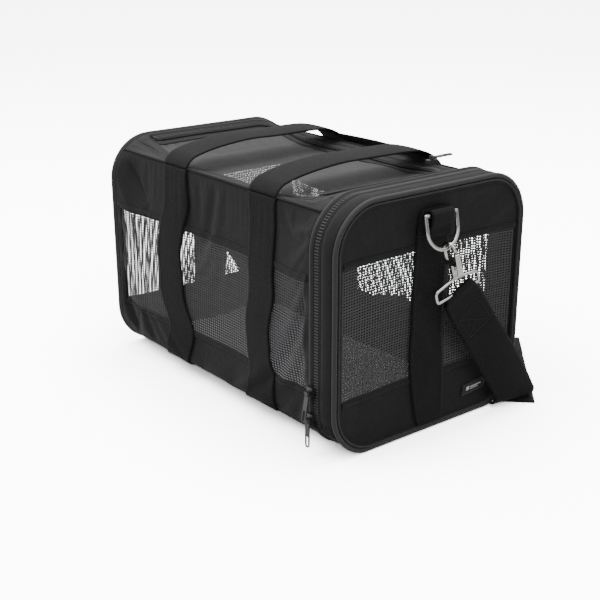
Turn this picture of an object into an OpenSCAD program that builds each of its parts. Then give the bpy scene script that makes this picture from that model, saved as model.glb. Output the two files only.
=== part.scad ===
// Soft-sided pet carrier bag: a mesh-windowed fabric body with a zipped end door, a zipped
// top flap, two carrying handles and a clip-on shoulder strap.
// +X runs towards the door, +Z is up, and the origin is under the middle of the bag's base.

/* [Overall] */
// Length over the two piped ends
bag_len = 350; // [300:5:460]
// Width over the piping
bag_w = 220; // [200:5:300]
// Height over the piping
bag_h = 220; // [200:5:300]
// Outer radius of the piped corners of the ends
corner_r = 44; // [30:1:55]

/* [Fabric] */
// Thickness of the lined fabric walls
wall = 2.4; // [1.6:0.2:3.2]
// Thickness of the window mesh
mesh_t = 1.0; // [0.6:0.1:1.4]
// Radius of the piping round both ends
piping_r = 3; // [2:0.25:3.5]
// How far the fabric walls lie inside the piping
wall_inset = 1; // [0.5:0.25:2]

/* [Windows] */
// Height of the side windows' lower edge
side_win_z0 = 53; // [46:1:70]
// Height of the side windows' upper edge
side_win_z1 = 151; // [120:1:155]
// Fabric left at each end of a side window
side_win_end = 8; // [5:1:30]
// Height of the end windows' lower edge
end_win_z0 = 52; // [46:1:70]
// Height of the end windows' upper edge
end_win_z1 = 166; // [130:1:170]
// Fabric left beside the end windows
end_win_edge = 4; // [3:1:20]

/* [Top flap] */
// Distance from the middle of the bag to the flap's front edge
flap_front = 110; // [100:1:120]
// Distance from the middle of the bag to the flap's rear edge
flap_rear = 155; // [130:1:160]
// Half the width of the flap
flap_half_w = 84; // [70:1:90]
// Fabric border round the flap's mesh
flap_border = 12; // [8:1:20]

/* [Zips] */
// Width of one half of the door's zip
zip_w = 5.3; // [4:0.1:7]
// Thickness of zip tape
zip_t = 1.6; // [1:0.1:2]
// Width of the raised coil at the edge of each half
coil_w = 2; // [1.5:0.1:2.5]
// Height at which the door's zip ends above the ground
zip_end_z = 24; // [15:1:40]
// Gap between the two halves of a zip
zip_gap = 0.3; // [0.2:0.1:0.5]
// Height of the upper door slider above the ground
slider_z_upper = 57; // [50:1:80]
// Height of the lower door slider above the ground
slider_z_lower = 33; // [32:1:38]
// Place of the top slider across the bag
slider_y_top = 52; // [30:1:60]
// Length of a zip pull
pull_len = 25; // [18:1:26]

/* [Door] */
// Depth of the door's gusset, from its zip to its piping
gusset_d = 12.4; // [8:0.2:20]

/* [Webbing] */
// Width of all webbing
webbing_w = 38; // [25:1:40]
// Thickness of webbing
webbing_t = 1.6; // [1.2:0.1:2]
// Place of the front side band along the bag
band_x_front = 65; // [50:1:75]
// Place of the rear side band along the bag
band_x_rear = -70; // [-80:1:-50]
// Angle above the horizontal at which a draped handle's grip ends, round the top corner
grip_low = 3; // [1:1:20]
// How far the hanging handle lies out over the ground
handle_toe = 60; // [40:1:62]

/* [Strap hardware] */
// Height of the D-rings' bars
ring_z = 197; // [185:1:200]
// Radius of the D-rings' wire
ring_wire_r = 1.8; // [1.4:0.1:2]
// Half the width of a D-ring, on its wire's centre
ring_half_w = 17.5; // [16:0.5:20]
// Length of a D-ring's straight arms
ring_arm = 12.5; // [10:0.5:16]
// How far a hanging ring leans out from the bag, in degrees
ring_lean = 11; // [11:1:14]
// Sideways slant of the hanging snap hook, in degrees
snap_roll = 18; // [0:1:20]
// Turn of the strap loop on its swivel, in degrees
loop_turn = 8; // [0:1:14]
// Room for the strap at each side inside the wire loop
loop_clear = 3.5; // [2:0.5:5]
// Height of the wire strap loop, on its wire's centre
loop_h = 14; // [12:0.5:18]
// Length of the sewn end of the shoulder strap
strap_end_len = 50; // [40:1:55]
// Distance from the bag's side to the strap where it lies on the ground
strap_out = 76; // [70:1:110]

/* [Base] */
// Thickness of the stiff base board
board_t = 3; // [2:0.5:4]
// Thickness of the fleece pad
pad_t = 10; // [6:1:14]

/* [Hidden] */
$fn = 96;
eps = 0.01;
big = 2 * (bag_len + bag_w + bag_h);
seat = 0.1;              // gap between two sewn layers
fold = 0.3;              // gap at a soft hinge

// Outline of the fabric walls, which stand on the ground
half_w = bag_w / 2 - wall_inset;
top_z = bag_h - wall_inset;
body_r = corner_r - wall_inset;
corner_y = half_w - body_r;
corner_z0 = body_r;
corner_z1 = top_z - body_r;

// Stations along the bag, from the rear piping to the door's piping
x_end = bag_len / 2;
x_rear_pipe = -x_end + piping_r;
x_rear_out = x_rear_pipe + piping_r + seat;
x_rear_in = x_rear_out + wall;
x_door_pipe = x_end - piping_r;
x_gusset1 = x_door_pipe - piping_r - seat;
x_gusset0 = x_gusset1 - gusset_d;
x_zip_mid = x_gusset0 - zip_w;
x_zip0 = x_zip_mid - zip_gap - zip_w;
rim_w = 3.5;
x_rim0 = x_zip0 - rim_w;
x_win0 = x_rear_in + side_win_end;
x_win1 = x_rim0 - side_win_end;
x_plate_out = x_door_pipe + wall / 2;
x_webbing_out = x_plate_out + seat + webbing_t;
x_rear_webbing_out = x_rear_out - seat - webbing_t;
plate_inset = 2 * piping_r + seat;
plate_half_w = bag_w / 2 - plate_inset;
plate_r = corner_r - plate_inset;

// Zips
flap_gap = 0.4;
flap_zip_w = 5;
flap_zip_t = 1.2;
flap_zip_y0 = -flap_half_w + 15;
slider_w = 7;
slider_l = 10;
slider_t = 3.2;
bail_w = 2.6;
pin_r = 0.95;
pin_clear = 0.05;
pin_h = slider_t + 2;
pull_w = 5;
pull_t = 1.2;
pull_lean = 10;
x_slider = x_zip_mid - zip_gap - slider_w / 2;
slider_y = -bag_w / 2 - fold;
flap_slider_x = flap_front + flap_gap + slider_w / 2 + 0.2;
flap_slider_z = top_z + seat + flap_zip_t + seat;

// Handles
handle_gap = 2.4;
handle_r = body_r + handle_gap + webbing_t / 2;
root_turn = 1.5;
grip_span = webbing_w / handle_r * 180 / PI;
leg_outer_front = band_x_front + webbing_w / 2;
leg_outer_rear = band_x_rear - webbing_w / 2;

// Strap hardware, in a frame whose +X points out of the bag from the webbing's face
bore_clear = 0.1;
tab_w = 25;
tab_r = ring_wire_r + bore_clear + webbing_t;
tab_low = 20;
ring_drop = ring_arm + ring_half_w * cos(snap_roll);
snap_x = tab_r + ring_drop * sin(ring_lean);
snap_y = ring_half_w * sin(snap_roll);
snap_z = ring_z - ring_drop * cos(ring_lean);
hook_r = 6.2;
hook_wire_r = 1.6;
hook_top = hook_r - hook_wire_r - ring_wire_r - 0.3;
throat_z = -hook_top;
shoulder_z = throat_z - 9;
shoulder_h = 5;
gate_r = 1.3;
shank_r = 3.2;
shank_z0 = shoulder_z - shoulder_h - 10;
swivel_pin_r = 1.5;
swivel_clear = 0.08;
collar_h = 3;
loop_z1 = shank_z0 - 0.2 - collar_h - 1;
loop_z0 = loop_z1 - loop_h;
loop_wire_r = 1.5;
loop_half_w = webbing_w / 2 + loop_clear;
strap_fold_r = loop_wire_r + 0.2 + webbing_t;
strap_skew = 17;

// Shoulder strap on the ground
strap_y = bag_w / 2 + strap_out;
drop_gap = 0.6;
strap_pass = 2;            // room beside the right-hand handle's legs

// Rounded outline across the bag, grown by g; y is the 2-D x
module outline(g) {
    for (s = [-1, 1])
        for (z = [corner_z0, corner_z1])
            translate([s * corner_y, z]) circle(r = body_r + g);
    translate([-corner_y, -g]) square([2 * corner_y, top_z + 2 * g]);
    translate([-half_w - g, corner_z0]) square([2 * (half_w + g), corner_z1 - corner_z0]);
}

// Band that follows the outline, from growth g0 to growth g1
module ring2d(g0, g1) {
    difference() {
        outline(g1);
        outline(g0);
    }
}

// Lays a 2-D (y, z) drawing across the bag from x0 to x1
module across(x0, x1) {
    translate([x0, 0, 0]) rotate([90, 0, 90]) linear_extrude(x1 - x0) children();
}

// The four quarters of the outline, parted on the corners' diagonals
module left_part() {
    polygon([[-corner_y, corner_z0], [-corner_y - big, corner_z0 - big],
        [-corner_y - big, corner_z1 + big], [-corner_y, corner_z1]]);
}

module right_part() {
    mirror([1, 0]) left_part();
}

module top_part() {
    polygon([[-corner_y, corner_z1], [corner_y, corner_z1],
        [corner_y + big, corner_z1 + big], [-corner_y - big, corner_z1 + big]]);
}

module bottom_part() {
    polygon([[-corner_y, corner_z0], [corner_y, corner_z0],
        [corner_y + big, corner_z0 - big], [-corner_y - big, corner_z0 - big]]);
}

// Rounded rectangle of one end, for plates
module end_outline(hw, r, inset) {
    for (s = [-1, 1])
        for (z = [inset + r, bag_h - inset - r])
            translate([s * (hw - r), z]) circle(r = r);
    translate([r - hw, inset]) square([2 * (hw - r), bag_h - 2 * inset]);
    translate([-hw, inset + r]) square([2 * hw, bag_h - 2 * (inset + r)]);
}

module side_window(x0, x1, t) {
    translate([x0, -half_w + (wall - t) / 2, side_win_z0])
        cube([x1 - x0, t, side_win_z1 - side_win_z0]);
}

// ---- Body ----

module bottom_panel() {
    color("#2b2b2c") across(x_rear_in, x_rim0) intersection() {
        ring2d(-wall, 0);
        bottom_part();
    }
}

module side_left() {
    color("#303031") difference() {
        across(x_rear_in, x_rim0) intersection() {
            ring2d(-wall, 0);
            left_part();
        }
        side_window(x_win0, x_win1, 3 * wall);
    }
}

module side_left_mesh() {
    color("#3a3a3b") side_window(x_win0, x_win1, mesh_t);
}

module side_right() {
    color("#303031") mirror([0, 1, 0]) side_left();
}

module side_right_mesh() {
    color("#3a3a3b") mirror([0, 1, 0]) side_left_mesh();
}

module top_border() {
    color("#3e3e40") top_layer(-wall, 0) difference() {
        square(big, center = true);
        flap_plan(flap_gap, -flap_half_w - flap_gap);
    }
}

module end_window(x0, t) {
    hw = plate_half_w - end_win_edge;
    translate([x0, -hw, end_win_z0]) cube([t, 2 * hw, end_win_z1 - end_win_z0]);
}

module rear_panel() {
    color("#2b2b2c") difference() {
        across(x_rear_out, x_rear_in) outline(0);
        end_window(x_rear_out - wall, 3 * wall);
    }
}

module rear_mesh() {
    color("#3a3a3b") end_window(x_rear_out + (wall - mesh_t) / 2, mesh_t);
}

// Piping that follows the rounded end at station x
module piping(x) {
    run_r = corner_r - piping_r;
    y_c = bag_w / 2 - corner_r;
    z_lo = corner_r;
    z_hi = bag_h - corner_r;
    translate([x, 0, 0]) {
        for (s = [-1, 1])
            translate([0, s * (y_c + run_r), z_lo]) cylinder(r = piping_r, h = z_hi - z_lo);
        for (z = [z_lo - run_r, z_hi + run_r])
            translate([0, y_c, z]) rotate([90, 0, 0]) cylinder(r = piping_r, h = 2 * y_c);
        for (k = [0:3])
            translate([0, (k == 0 || k == 3 ? 1 : -1) * y_c, k < 2 ? z_hi : z_lo])
                rotate([90, 0, 90]) rotate([0, 0, 90 * k])
                    rotate_extrude(angle = 90) translate([run_r, 0]) circle(r = piping_r, $fn = 48);
    }
}

module rear_piping() {
    color("#4a4a4c") piping(x_rear_pipe);
}

module body_rim() {
    color("#454547") across(x_rim0, x_zip0) intersection() {
        ring2d(-wall, wall_inset);
        translate([-big / 2, 0]) square(big);
    }
}

// Half of the door's zip: a tape with its coil at the meeting edge
module zip_half(x0, coil_x) {
    intersection() {
        union() {
            across(x0, x0 + zip_w) ring2d(-wall, zip_t - wall);
            across(coil_x, coil_x + coil_w) ring2d(zip_t - wall, 0);
        }
        translate([-big / 2, -big / 2, zip_end_z]) cube(big);
    }
}

module door_zip_body() {
    color("#262627") zip_half(x_zip0, x_zip0 + zip_w - coil_w);
}

module door_zip_door() {
    color("#262627") zip_half(x_zip_mid, x_zip_mid);
}

// Fabric under the door's zip ends, which folds at the piping
module hinge_gusset() {
    color("#2b2b2c") intersection() {
        across(x_zip0, x_gusset1) ring2d(-wall, 0);
        translate([-big / 2, -big / 2, -seat]) cube([big, big, zip_end_z - fold + seat]);
    }
}

// ---- Door ----

module door_gusset() {
    color("#2e2e30") intersection() {
        across(x_gusset0, x_gusset1) ring2d(-wall, 0);
        translate([-big / 2, -big / 2, zip_end_z]) cube(big);
    }
}

module door_piping() {
    color("#4a4a4c") piping(x_door_pipe);
}

module door_panel() {
    color("#262628") difference() {
        across(x_plate_out - wall, x_plate_out) end_outline(plate_half_w, plate_r, plate_inset);
        end_window(x_plate_out - 2 * wall, 3 * wall);
    }
}

module door_mesh() {
    color("#3a3a3b") end_window(x_plate_out - (wall + mesh_t) / 2, mesh_t);
}

// Upright webbing in the middle of an end, from growth of the plate's inset to the ring
module end_webbing(x0) {
    translate([x0, -webbing_w / 2, plate_inset + seat])
        cube([webbing_t, webbing_w, ring_z + tab_r - plate_inset - seat]);
}

module door_webbing() {
    color("#1c1c1d") end_webbing(x_plate_out + seat);
}

module rear_webbing() {
    color("#1c1c1d") end_webbing(x_rear_webbing_out);
}

module door_label() {
    label_w = 30;
    label_h = 10;
    color("#161617") translate([x_plate_out + seat, 45, 20]) cube([0.6, label_w, label_h]);
}

// ---- Places of the strap hardware, +X outward from the webbing's face ----

module at_front() {
    translate([x_webbing_out, 0, 0]) children();
}

module at_rear() {
    translate([x_rear_webbing_out, 0, 0]) mirror([1, 0, 0]) children();
}

// Webbing folded over the ring's bar and sewn down below it
module ring_tab() {
    difference() {
        union() {
            translate([tab_r, tab_w / 2, ring_z]) rotate([90, 0, 0]) cylinder(r = tab_r, h = tab_w);
            translate([0, -tab_w / 2, ring_z - tab_low]) cube([tab_r, tab_w, tab_low]);
        }
        translate([tab_r, tab_w, ring_z]) rotate([90, 0, 0])
            cylinder(r = ring_wire_r + bore_clear, h = 2 * tab_w);
        translate([webbing_t, -tab_w, ring_z - 2 * tab_low])
            cube([2 * tab_r, 2 * tab_w, 2 * tab_low - tab_r]);
    }
}

module door_ring_tab() {
    color("#1c1c1d") at_front() ring_tab();
}

module rear_ring_tab() {
    color("#1c1c1d") at_rear() ring_tab();
}

module d_ring() {
    translate([tab_r, 0, ring_z]) rotate([0, -ring_lean, 0]) {
        translate([0, ring_half_w, 0]) rotate([90, 0, 0])
            cylinder(r = ring_wire_r, h = 2 * ring_half_w);
        for (s = [-1, 1]) {
            translate([0, s * ring_half_w, 0]) sphere(r = ring_wire_r);
            translate([0, s * ring_half_w, -ring_arm]) cylinder(r = ring_wire_r, h = ring_arm);
        }
        translate([0, 0, -ring_arm]) rotate([90, 0, 90]) rotate([0, 0, 180])
            rotate_extrude(angle = 180) translate([ring_half_w, 0]) circle(r = ring_wire_r, $fn = 48);
    }
}

// Frame of the hanging snap: its origin is the ring's wire, its length runs down -Z
module at_snap() {
    translate([snap_x, snap_y, snap_z]) rotate([snap_roll, 0, 0]) children();
}

module snap_body() {
    at_snap() {
        translate([0, 0, throat_z]) rotate([90, 0, 0])
            rotate_extrude(angle = 180) translate([hook_r, 0]) circle(r = hook_wire_r, $fn = 48);
        translate([hook_r, 0, throat_z]) sphere(r = hook_wire_r, $fn = 48);
        translate([-hook_r, 0, shoulder_z - eps]) cylinder(r = hook_wire_r, h = 9 + eps);
        difference() {
            translate([-hook_r - hook_wire_r, -2.5, shoulder_z - shoulder_h])
                cube([2 * (hook_r + hook_wire_r), 5, shoulder_h]);
            translate([hook_r - 2.2, -1.7, shoulder_z - shoulder_h + 1.4])
                cube([10, 3.4, shoulder_h]);
        }
        difference() {
            translate([0, 0, shank_z0]) cylinder(r = shank_r, h = 10 + eps);
            translate([0, 0, shank_z0 - 1])
                cylinder(r = swivel_pin_r + swivel_clear, h = 9);
        }
    }
}

// Sprung bar that closes the hook's mouth, hinged at the snap's shoulder
module snap_gate() {
    at_snap() translate([hook_r, 0, shoulder_z - 1.6]) {
        cylinder(r = gate_r, h = throat_z - hook_wire_r - 0.25 - shoulder_z + 1.6);
        translate([0, 1.5, 0]) rotate([90, 0, 0]) cylinder(r = 1.5, h = 3);
        translate([gate_r - 0.6, -1.2, 4]) cube([2.2, 2.4, 3]);
    }
}

// Swivelling part: pin and collar above a rectangular wire loop for the strap
module at_loop() {
    at_snap() rotate([0, 0, -loop_turn]) children();
}

module wire_loop() {
    at_loop() {
        translate([0, 0, shank_z0 - 0.2 - collar_h]) cylinder(r = shank_r, h = collar_h);
        translate([0, 0, shank_z0 - 0.2 - eps]) cylinder(r = swivel_pin_r, h = 7);
        for (z = [loop_z0, loop_z1])
            translate([0, loop_half_w, z]) rotate([90, 0, 0])
                cylinder(r = loop_wire_r, h = 2 * loop_half_w);
        for (s = [-1, 1]) {
            translate([0, s * loop_half_w, loop_z0]) cylinder(r = loop_wire_r, h = loop_h);
            for (z = [loop_z0, loop_z1])
                translate([0, s * loop_half_w, z]) sphere(r = loop_wire_r);
        }
    }
}

// Frame of the strap where it leaves the wire loop: its length runs down -Z
module at_strap() {
    at_loop() translate([0, 0, loop_z0]) rotate([strap_skew, 0, 0]) children();
}

// Sewn end of the strap, folded round the wire loop's lower bar
module strap_end() {
    fold_l = webbing_w * cos(strap_skew) * 0.7;
    flat_from = webbing_w / 2 * sin(strap_skew) + 1.3;
    difference() {
        union() {
            at_loop() translate([0, fold_l / 2, loop_z0]) rotate([90, 0, 0])
                cylinder(r = strap_fold_r, h = fold_l);
            at_strap() translate([-webbing_t, -webbing_w / 2, -strap_end_len])
                cube([2 * webbing_t, webbing_w, strap_end_len - flat_from]);
            at_strap() translate([-webbing_t, -webbing_w / 4, -flat_from - eps])
                cube([2 * webbing_t, webbing_w / 2, flat_from - 1]);
        }
        at_loop() translate([0, webbing_w, loop_z0]) rotate([90, 0, 0])
            cylinder(r = loop_wire_r + 0.2, h = 2 * webbing_w);
    }
}

// The same strap going on down to the ground
module strap_drop() {
    intersection() {
        at_strap() translate([-webbing_t / 2, -webbing_w / 2, -big])
            cube([webbing_t, webbing_w, big - strap_end_len - drop_gap]);
        translate([-big / 2, -big / 2, webbing_t + seat]) cube(big);
    }
}

module ring_front() {
    color("#c9c9cc") at_front() d_ring();
}

module snap_front() {
    color("#c9c9cc") at_front() snap_body();
}

module gate_front() {
    color("#b5b5b8") at_front() snap_gate();
}

module loop_front() {
    color("#c9c9cc") at_front() wire_loop();
}

module strap_end_front() {
    color("#202021") at_front() strap_end();
}

module strap_drop_front() {
    color("#202021") at_front() strap_drop();
}

module ring_rear() {
    color("#c9c9cc") at_rear() d_ring();
}

module snap_rear() {
    color("#c9c9cc") at_rear() snap_body();
}

module gate_rear() {
    color("#b5b5b8") at_rear() snap_gate();
}

module loop_rear() {
    color("#c9c9cc") at_rear() wire_loop();
}

module strap_end_rear() {
    color("#202021") at_rear() strap_end();
}

module strap_drop_rear() {
    color("#202021") at_rear() strap_drop();
}

// Strap lying on the ground, from under its drop to the run behind the right-hand handle
module strap_turn(run_x) {
    from = [snap_x + 9, bag_w / 2 - 14];
    to = [run_x - 11, strap_y + webbing_w / 2];
    way = atan2(to[1] - from[1], to[0] - from[0]);
    intersection() {
        translate([from[0], from[1], 0]) rotate([0, 0, way])
            translate([-10, -webbing_w / 2, 0]) cube([big, webbing_w, webbing_t]);
        translate([run_x + seat, 0, -1]) cube(big);
    }
}

module strap_turn_front() {
    color("#202021") at_front() strap_turn(leg_outer_front + strap_pass - x_webbing_out);
}

module strap_turn_rear() {
    color("#202021") at_rear() strap_turn(x_rear_webbing_out - leg_outer_rear + strap_pass);
}

module strap_run() {
    run0 = leg_outer_rear - strap_pass;
    run1 = leg_outer_front + strap_pass;
    color("#202021") translate([run0, strap_y, 0]) cube([run1 - run0, webbing_w, webbing_t]);
}

// Three-bar slide that sets the strap's length
module strap_adjuster() {
    glide_l = 30;
    glide_w = webbing_w + 8;
    bar = 4;
    slot = (glide_l - 3 * bar) / 2;
    color("#1a1a1b") translate([-glide_l / 2, strap_y - 4, webbing_t + seat]) difference() {
        cube([glide_l, glide_w, 2.2]);
        for (k = [0, 1])
            translate([bar + k * (slot + bar), bar, -1]) cube([slot, glide_w - 2 * bar, 5]);
    }
}

// ---- Webbing bands and handles ----

// Band on the left wall, sewn from the bottom seam to the top seam
module band(x) {
    across(x - webbing_w / 2, x + webbing_w / 2) intersection() {
        ring2d(seat, seat + webbing_t);
        left_part();
    }
}

module band_left_front() {
    color("#1c1c1d") band(band_x_front);
}

module band_left_rear() {
    color("#1c1c1d") band(band_x_rear);
}

module band_right_front() {
    color("#1c1c1d") mirror([0, 1, 0]) band(band_x_front);
}

module band_right_rear() {
    color("#1c1c1d") mirror([0, 1, 0]) band(band_x_rear);
}

// Sector about the right-hand top corner's centre, between two angles
module corner_sector(a0, a1) {
    translate([corner_y, corner_z1])
        polygon([[0, 0], big * [cos(a0), sin(a0)], big * [cos(a1), sin(a1)]]);
}

// Strip over the top from the left seam, and round the right-hand corner down to the grip
module drape2d() {
    intersection() {
        ring2d(handle_gap, handle_gap + webbing_t);
        union() {
            difference() {
                top_part();
                mirror([1, 0]) corner_sector(30, 45 + root_turn);
            }
            corner_sector(grip_low, 46);
        }
    }
}

module handle_left() {
    color("#1e1e1f") {
        for (x = [band_x_front, band_x_rear])
            across(x - webbing_w / 2, x + webbing_w / 2) drape2d();
        across(leg_outer_rear, leg_outer_front) intersection() {
            drape2d();
            corner_sector(grip_low, grip_low + grip_span);
        }
    }
}

// The other handle hangs outside and its grip lies on the ground
module handle_right() {
    y0 = half_w + seat + webbing_t + fold;
    leg_top = corner_z1 - 2;
    color("#1e1e1f") {
        for (x = [band_x_front, band_x_rear])
            translate([x - webbing_w / 2, y0, 0]) {
                cube([webbing_w, webbing_t, leg_top]);
                cube([webbing_w, handle_toe, webbing_t]);
            }
        translate([leg_outer_rear, y0 + handle_toe - webbing_w, 0])
            cube([leg_outer_front - leg_outer_rear, webbing_w, webbing_t]);
    }
}

// ---- Top flap ----

// Layer of the top from growth g0 to growth g1, cut to a plan outline
module top_layer(g0, g1) {
    intersection() {
        across(x_rear_in, x_rim0) intersection() {
            ring2d(g0, g1);
            top_part();
        }
        translate([0, 0, corner_z1]) linear_extrude(big) children();
    }
}

// Plan of the flap, grown by g on the three zipped sides and from y0 on the hinge side
module flap_plan(g, y0) {
    translate([-flap_rear - g, y0]) square([flap_rear + flap_front + 2 * g, flap_half_w + g - y0]);
}

// Strip round three sides of the flap, between two growths of its plan
module flap_strip(g0, g1) {
    difference() {
        flap_plan(g1, flap_zip_y0);
        flap_plan(g0, flap_zip_y0 - 1);
    }
}

module flap_zip_body() {
    color("#262627") top_layer(seat, seat + flap_zip_t) flap_strip(flap_gap, flap_gap + flap_zip_w);
}

module flap_zip_flap() {
    color("#262627") top_layer(seat, seat + flap_zip_t) flap_strip(-flap_zip_w, 0);
}

module flap_window_plan() {
    flap_plan(-flap_border, -flap_half_w + flap_border);
}

module flap_panel() {
    color("#3e3e40") top_layer(-wall, 0) difference() {
        flap_plan(0, -flap_half_w + fold);
        flap_window_plan();
    }
}

module flap_mesh() {
    color("#4c4c4e") top_layer(-(wall + mesh_t) / 2, -(wall - mesh_t) / 2) flap_window_plan();
}

// ---- Base ----

module base_board() {
    // The board lies on the flat of the bottom, between the rounded edges
    board_hw = corner_y;
    color("#3c3c3e") translate([x_rear_in + 2, -board_hw, wall + seat])
        cube([x_rim0 - x_rear_in - 4, 2 * board_hw, board_t]);
}

module fleece_pad() {
    inner_r = body_r - wall;
    rise = corner_z0 - wall - board_t - 2 * seat;
    pad_hw = corner_y + sqrt(inner_r * inner_r - rise * rise) - 1.5;
    color("#56565a") translate([x_rear_in + 2, -pad_hw, wall + board_t + 2 * seat])
        cube([x_rim0 - x_rear_in - 4, 2 * pad_hw, pad_t]);
}

// ---- Sliders and pulls: x across the tape, y out of it, z along the travel ----

module slider() {
    difference() {
        union() {
            translate([-slider_w / 2, 0, -slider_l / 2]) cube([slider_w, slider_t, slider_l]);
            translate([-bail_w / 2, slider_t - eps, -2]) cube([bail_w, 3.6, 4]);
        }
        translate([-slider_w, pin_h, 0]) rotate([0, 90, 0])
            cylinder(r = pin_r + pin_clear, h = 2 * slider_w);
    }
}

module pull() {
    ear = 1;
    ear_x = bail_w / 2 + 0.2;
    difference() {
        union() {
            translate([-ear_x - eps, 0, 0]) rotate([0, 90, 0]) cylinder(r = pin_r, h = 2 * (ear_x + eps));
            for (s = [0, 1])
                mirror([s, 0, 0]) translate([ear_x, 0, 0]) {
                    rotate([0, 90, 0]) cylinder(r = 1.3, h = ear);
                    translate([0, -pull_t / 2, -4]) cube([ear, pull_t, 4]);
                }
            translate([-pull_w / 2, -pull_t / 2, -pull_len + pull_w / 2])
                cube([pull_w, pull_t, pull_len - pull_w / 2 - 3]);
            translate([0, pull_t / 2, -pull_len + pull_w / 2]) rotate([90, 0, 0])
                cylinder(r = pull_w / 2, h = pull_t);
        }
        for (z = [-pull_len + pull_w / 2, -pull_len + 9])
            translate([0, pull_t, z]) rotate([90, 0, 0]) cylinder(r = 1.5, h = 2 * pull_t);
        translate([-1.5, -pull_t, -pull_len + pull_w / 2]) cube([3, 2 * pull_t, 9 - pull_w / 2]);
    }
}

module at_door_slider(z) {
    translate([x_slider, slider_y, z]) mirror([0, 1, 0]) children();
}

module at_top_slider() {
    translate([flap_slider_x, slider_y_top, flap_slider_z]) rotate([90, 0, 0]) children();
}

module slider_upper() {
    color("#5b5b60") at_door_slider(slider_z_upper) slider();
}

module pull_upper() {
    color("#5b5b60") at_door_slider(slider_z_upper)
        translate([0, pin_h, 0]) rotate([pull_lean, 0, 0]) pull();
}

module slider_lower() {
    color("#5b5b60") at_door_slider(slider_z_lower) slider();
}

module pull_lower() {
    color("#5b5b60") at_door_slider(slider_z_lower) translate([0, pin_h, 0]) pull();
}

module slider_top() {
    color("#5b5b60") at_top_slider() slider();
}

module pull_top() {
    color("#5b5b60") at_top_slider() translate([0, pin_h, 0]) pull();
}

bottom_panel();
side_left();
side_left_mesh();
side_right();
side_right_mesh();
top_border();
rear_panel();
rear_mesh();
rear_piping();
rear_webbing();
rear_ring_tab();
body_rim();
door_zip_body();
hinge_gusset();
flap_zip_body();
base_board();
fleece_pad();
band_left_front();
band_left_rear();
band_right_front();
band_right_rear();
door_zip_door();
door_gusset();
door_piping();
door_panel();
door_mesh();
door_webbing();
door_ring_tab();
door_label();
flap_panel();
flap_mesh();
flap_zip_flap();
handle_left();
handle_right();
ring_front();
snap_front();
gate_front();
loop_front();
strap_end_front();
ring_rear();
snap_rear();
gate_rear();
loop_rear();
strap_end_rear();
strap_drop_front();
strap_turn_front();
strap_run();
strap_turn_rear();
strap_drop_rear();
strap_adjuster();
slider_upper();
pull_upper();
slider_lower();
pull_lower();
slider_top();
pull_top();
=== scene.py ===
import math

import bmesh
import bpy
import numpy as np
from mathutils import Matrix, Vector, noise


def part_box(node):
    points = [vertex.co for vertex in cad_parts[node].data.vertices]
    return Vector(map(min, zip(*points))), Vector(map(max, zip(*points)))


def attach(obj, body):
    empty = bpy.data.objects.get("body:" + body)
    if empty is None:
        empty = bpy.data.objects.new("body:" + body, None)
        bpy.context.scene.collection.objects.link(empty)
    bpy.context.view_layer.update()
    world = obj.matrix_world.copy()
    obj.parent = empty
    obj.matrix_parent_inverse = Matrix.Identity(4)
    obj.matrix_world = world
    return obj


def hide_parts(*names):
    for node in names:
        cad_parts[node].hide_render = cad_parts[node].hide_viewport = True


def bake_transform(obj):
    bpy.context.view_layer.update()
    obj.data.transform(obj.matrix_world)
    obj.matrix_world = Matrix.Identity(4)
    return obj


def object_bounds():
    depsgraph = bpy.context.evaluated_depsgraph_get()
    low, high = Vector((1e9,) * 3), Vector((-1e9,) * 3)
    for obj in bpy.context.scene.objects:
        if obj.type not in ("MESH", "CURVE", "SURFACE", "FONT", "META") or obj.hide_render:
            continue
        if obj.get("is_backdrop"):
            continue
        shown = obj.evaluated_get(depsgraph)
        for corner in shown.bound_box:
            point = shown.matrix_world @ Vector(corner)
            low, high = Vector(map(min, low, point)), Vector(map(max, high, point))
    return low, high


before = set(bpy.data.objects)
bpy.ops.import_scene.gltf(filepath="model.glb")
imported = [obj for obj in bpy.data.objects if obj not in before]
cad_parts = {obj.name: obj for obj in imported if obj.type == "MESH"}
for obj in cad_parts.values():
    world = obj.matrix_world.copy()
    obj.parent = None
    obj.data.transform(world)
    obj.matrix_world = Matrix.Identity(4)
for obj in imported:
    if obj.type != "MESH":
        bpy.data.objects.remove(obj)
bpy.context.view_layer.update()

# ---------------------------------------------------------------- Body shell
# The bag's tube of lined polyester: four panels sewn along the corners' diagonals. Between the
# piped ends the seams pull straight and the panels sag, so the section is sharper there.

side_lo, side_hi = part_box("side_left")
top_lo, top_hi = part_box("top_border")
BODY_X0, BODY_X1 = side_lo[0], side_hi[0]
HALF_W, TOP_Z = -side_lo[1], top_hi[2]
FOLD_Y = -top_lo[1]
CORNER_R = (HALF_W - FOLD_Y) / (1 - math.cos(math.pi / 4))
FLAT_Y = HALF_W - CORNER_R
FLAT_Z = TOP_Z / 2 - CORNER_R
ARC = CORNER_R * math.pi / 4
ENDS = 0.032                      # length over which the round ends fade into the soft middle
CLOTH_T = 0.0009                  # lined polyester
STITCH_MERGE = 1e-7               # stitches are finer than the distance that joins a cloth's seams


def smoothstep(t):
    t = min(max(t, 0.0), 1.0)
    return t * t * (3 - 2 * t)


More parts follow.
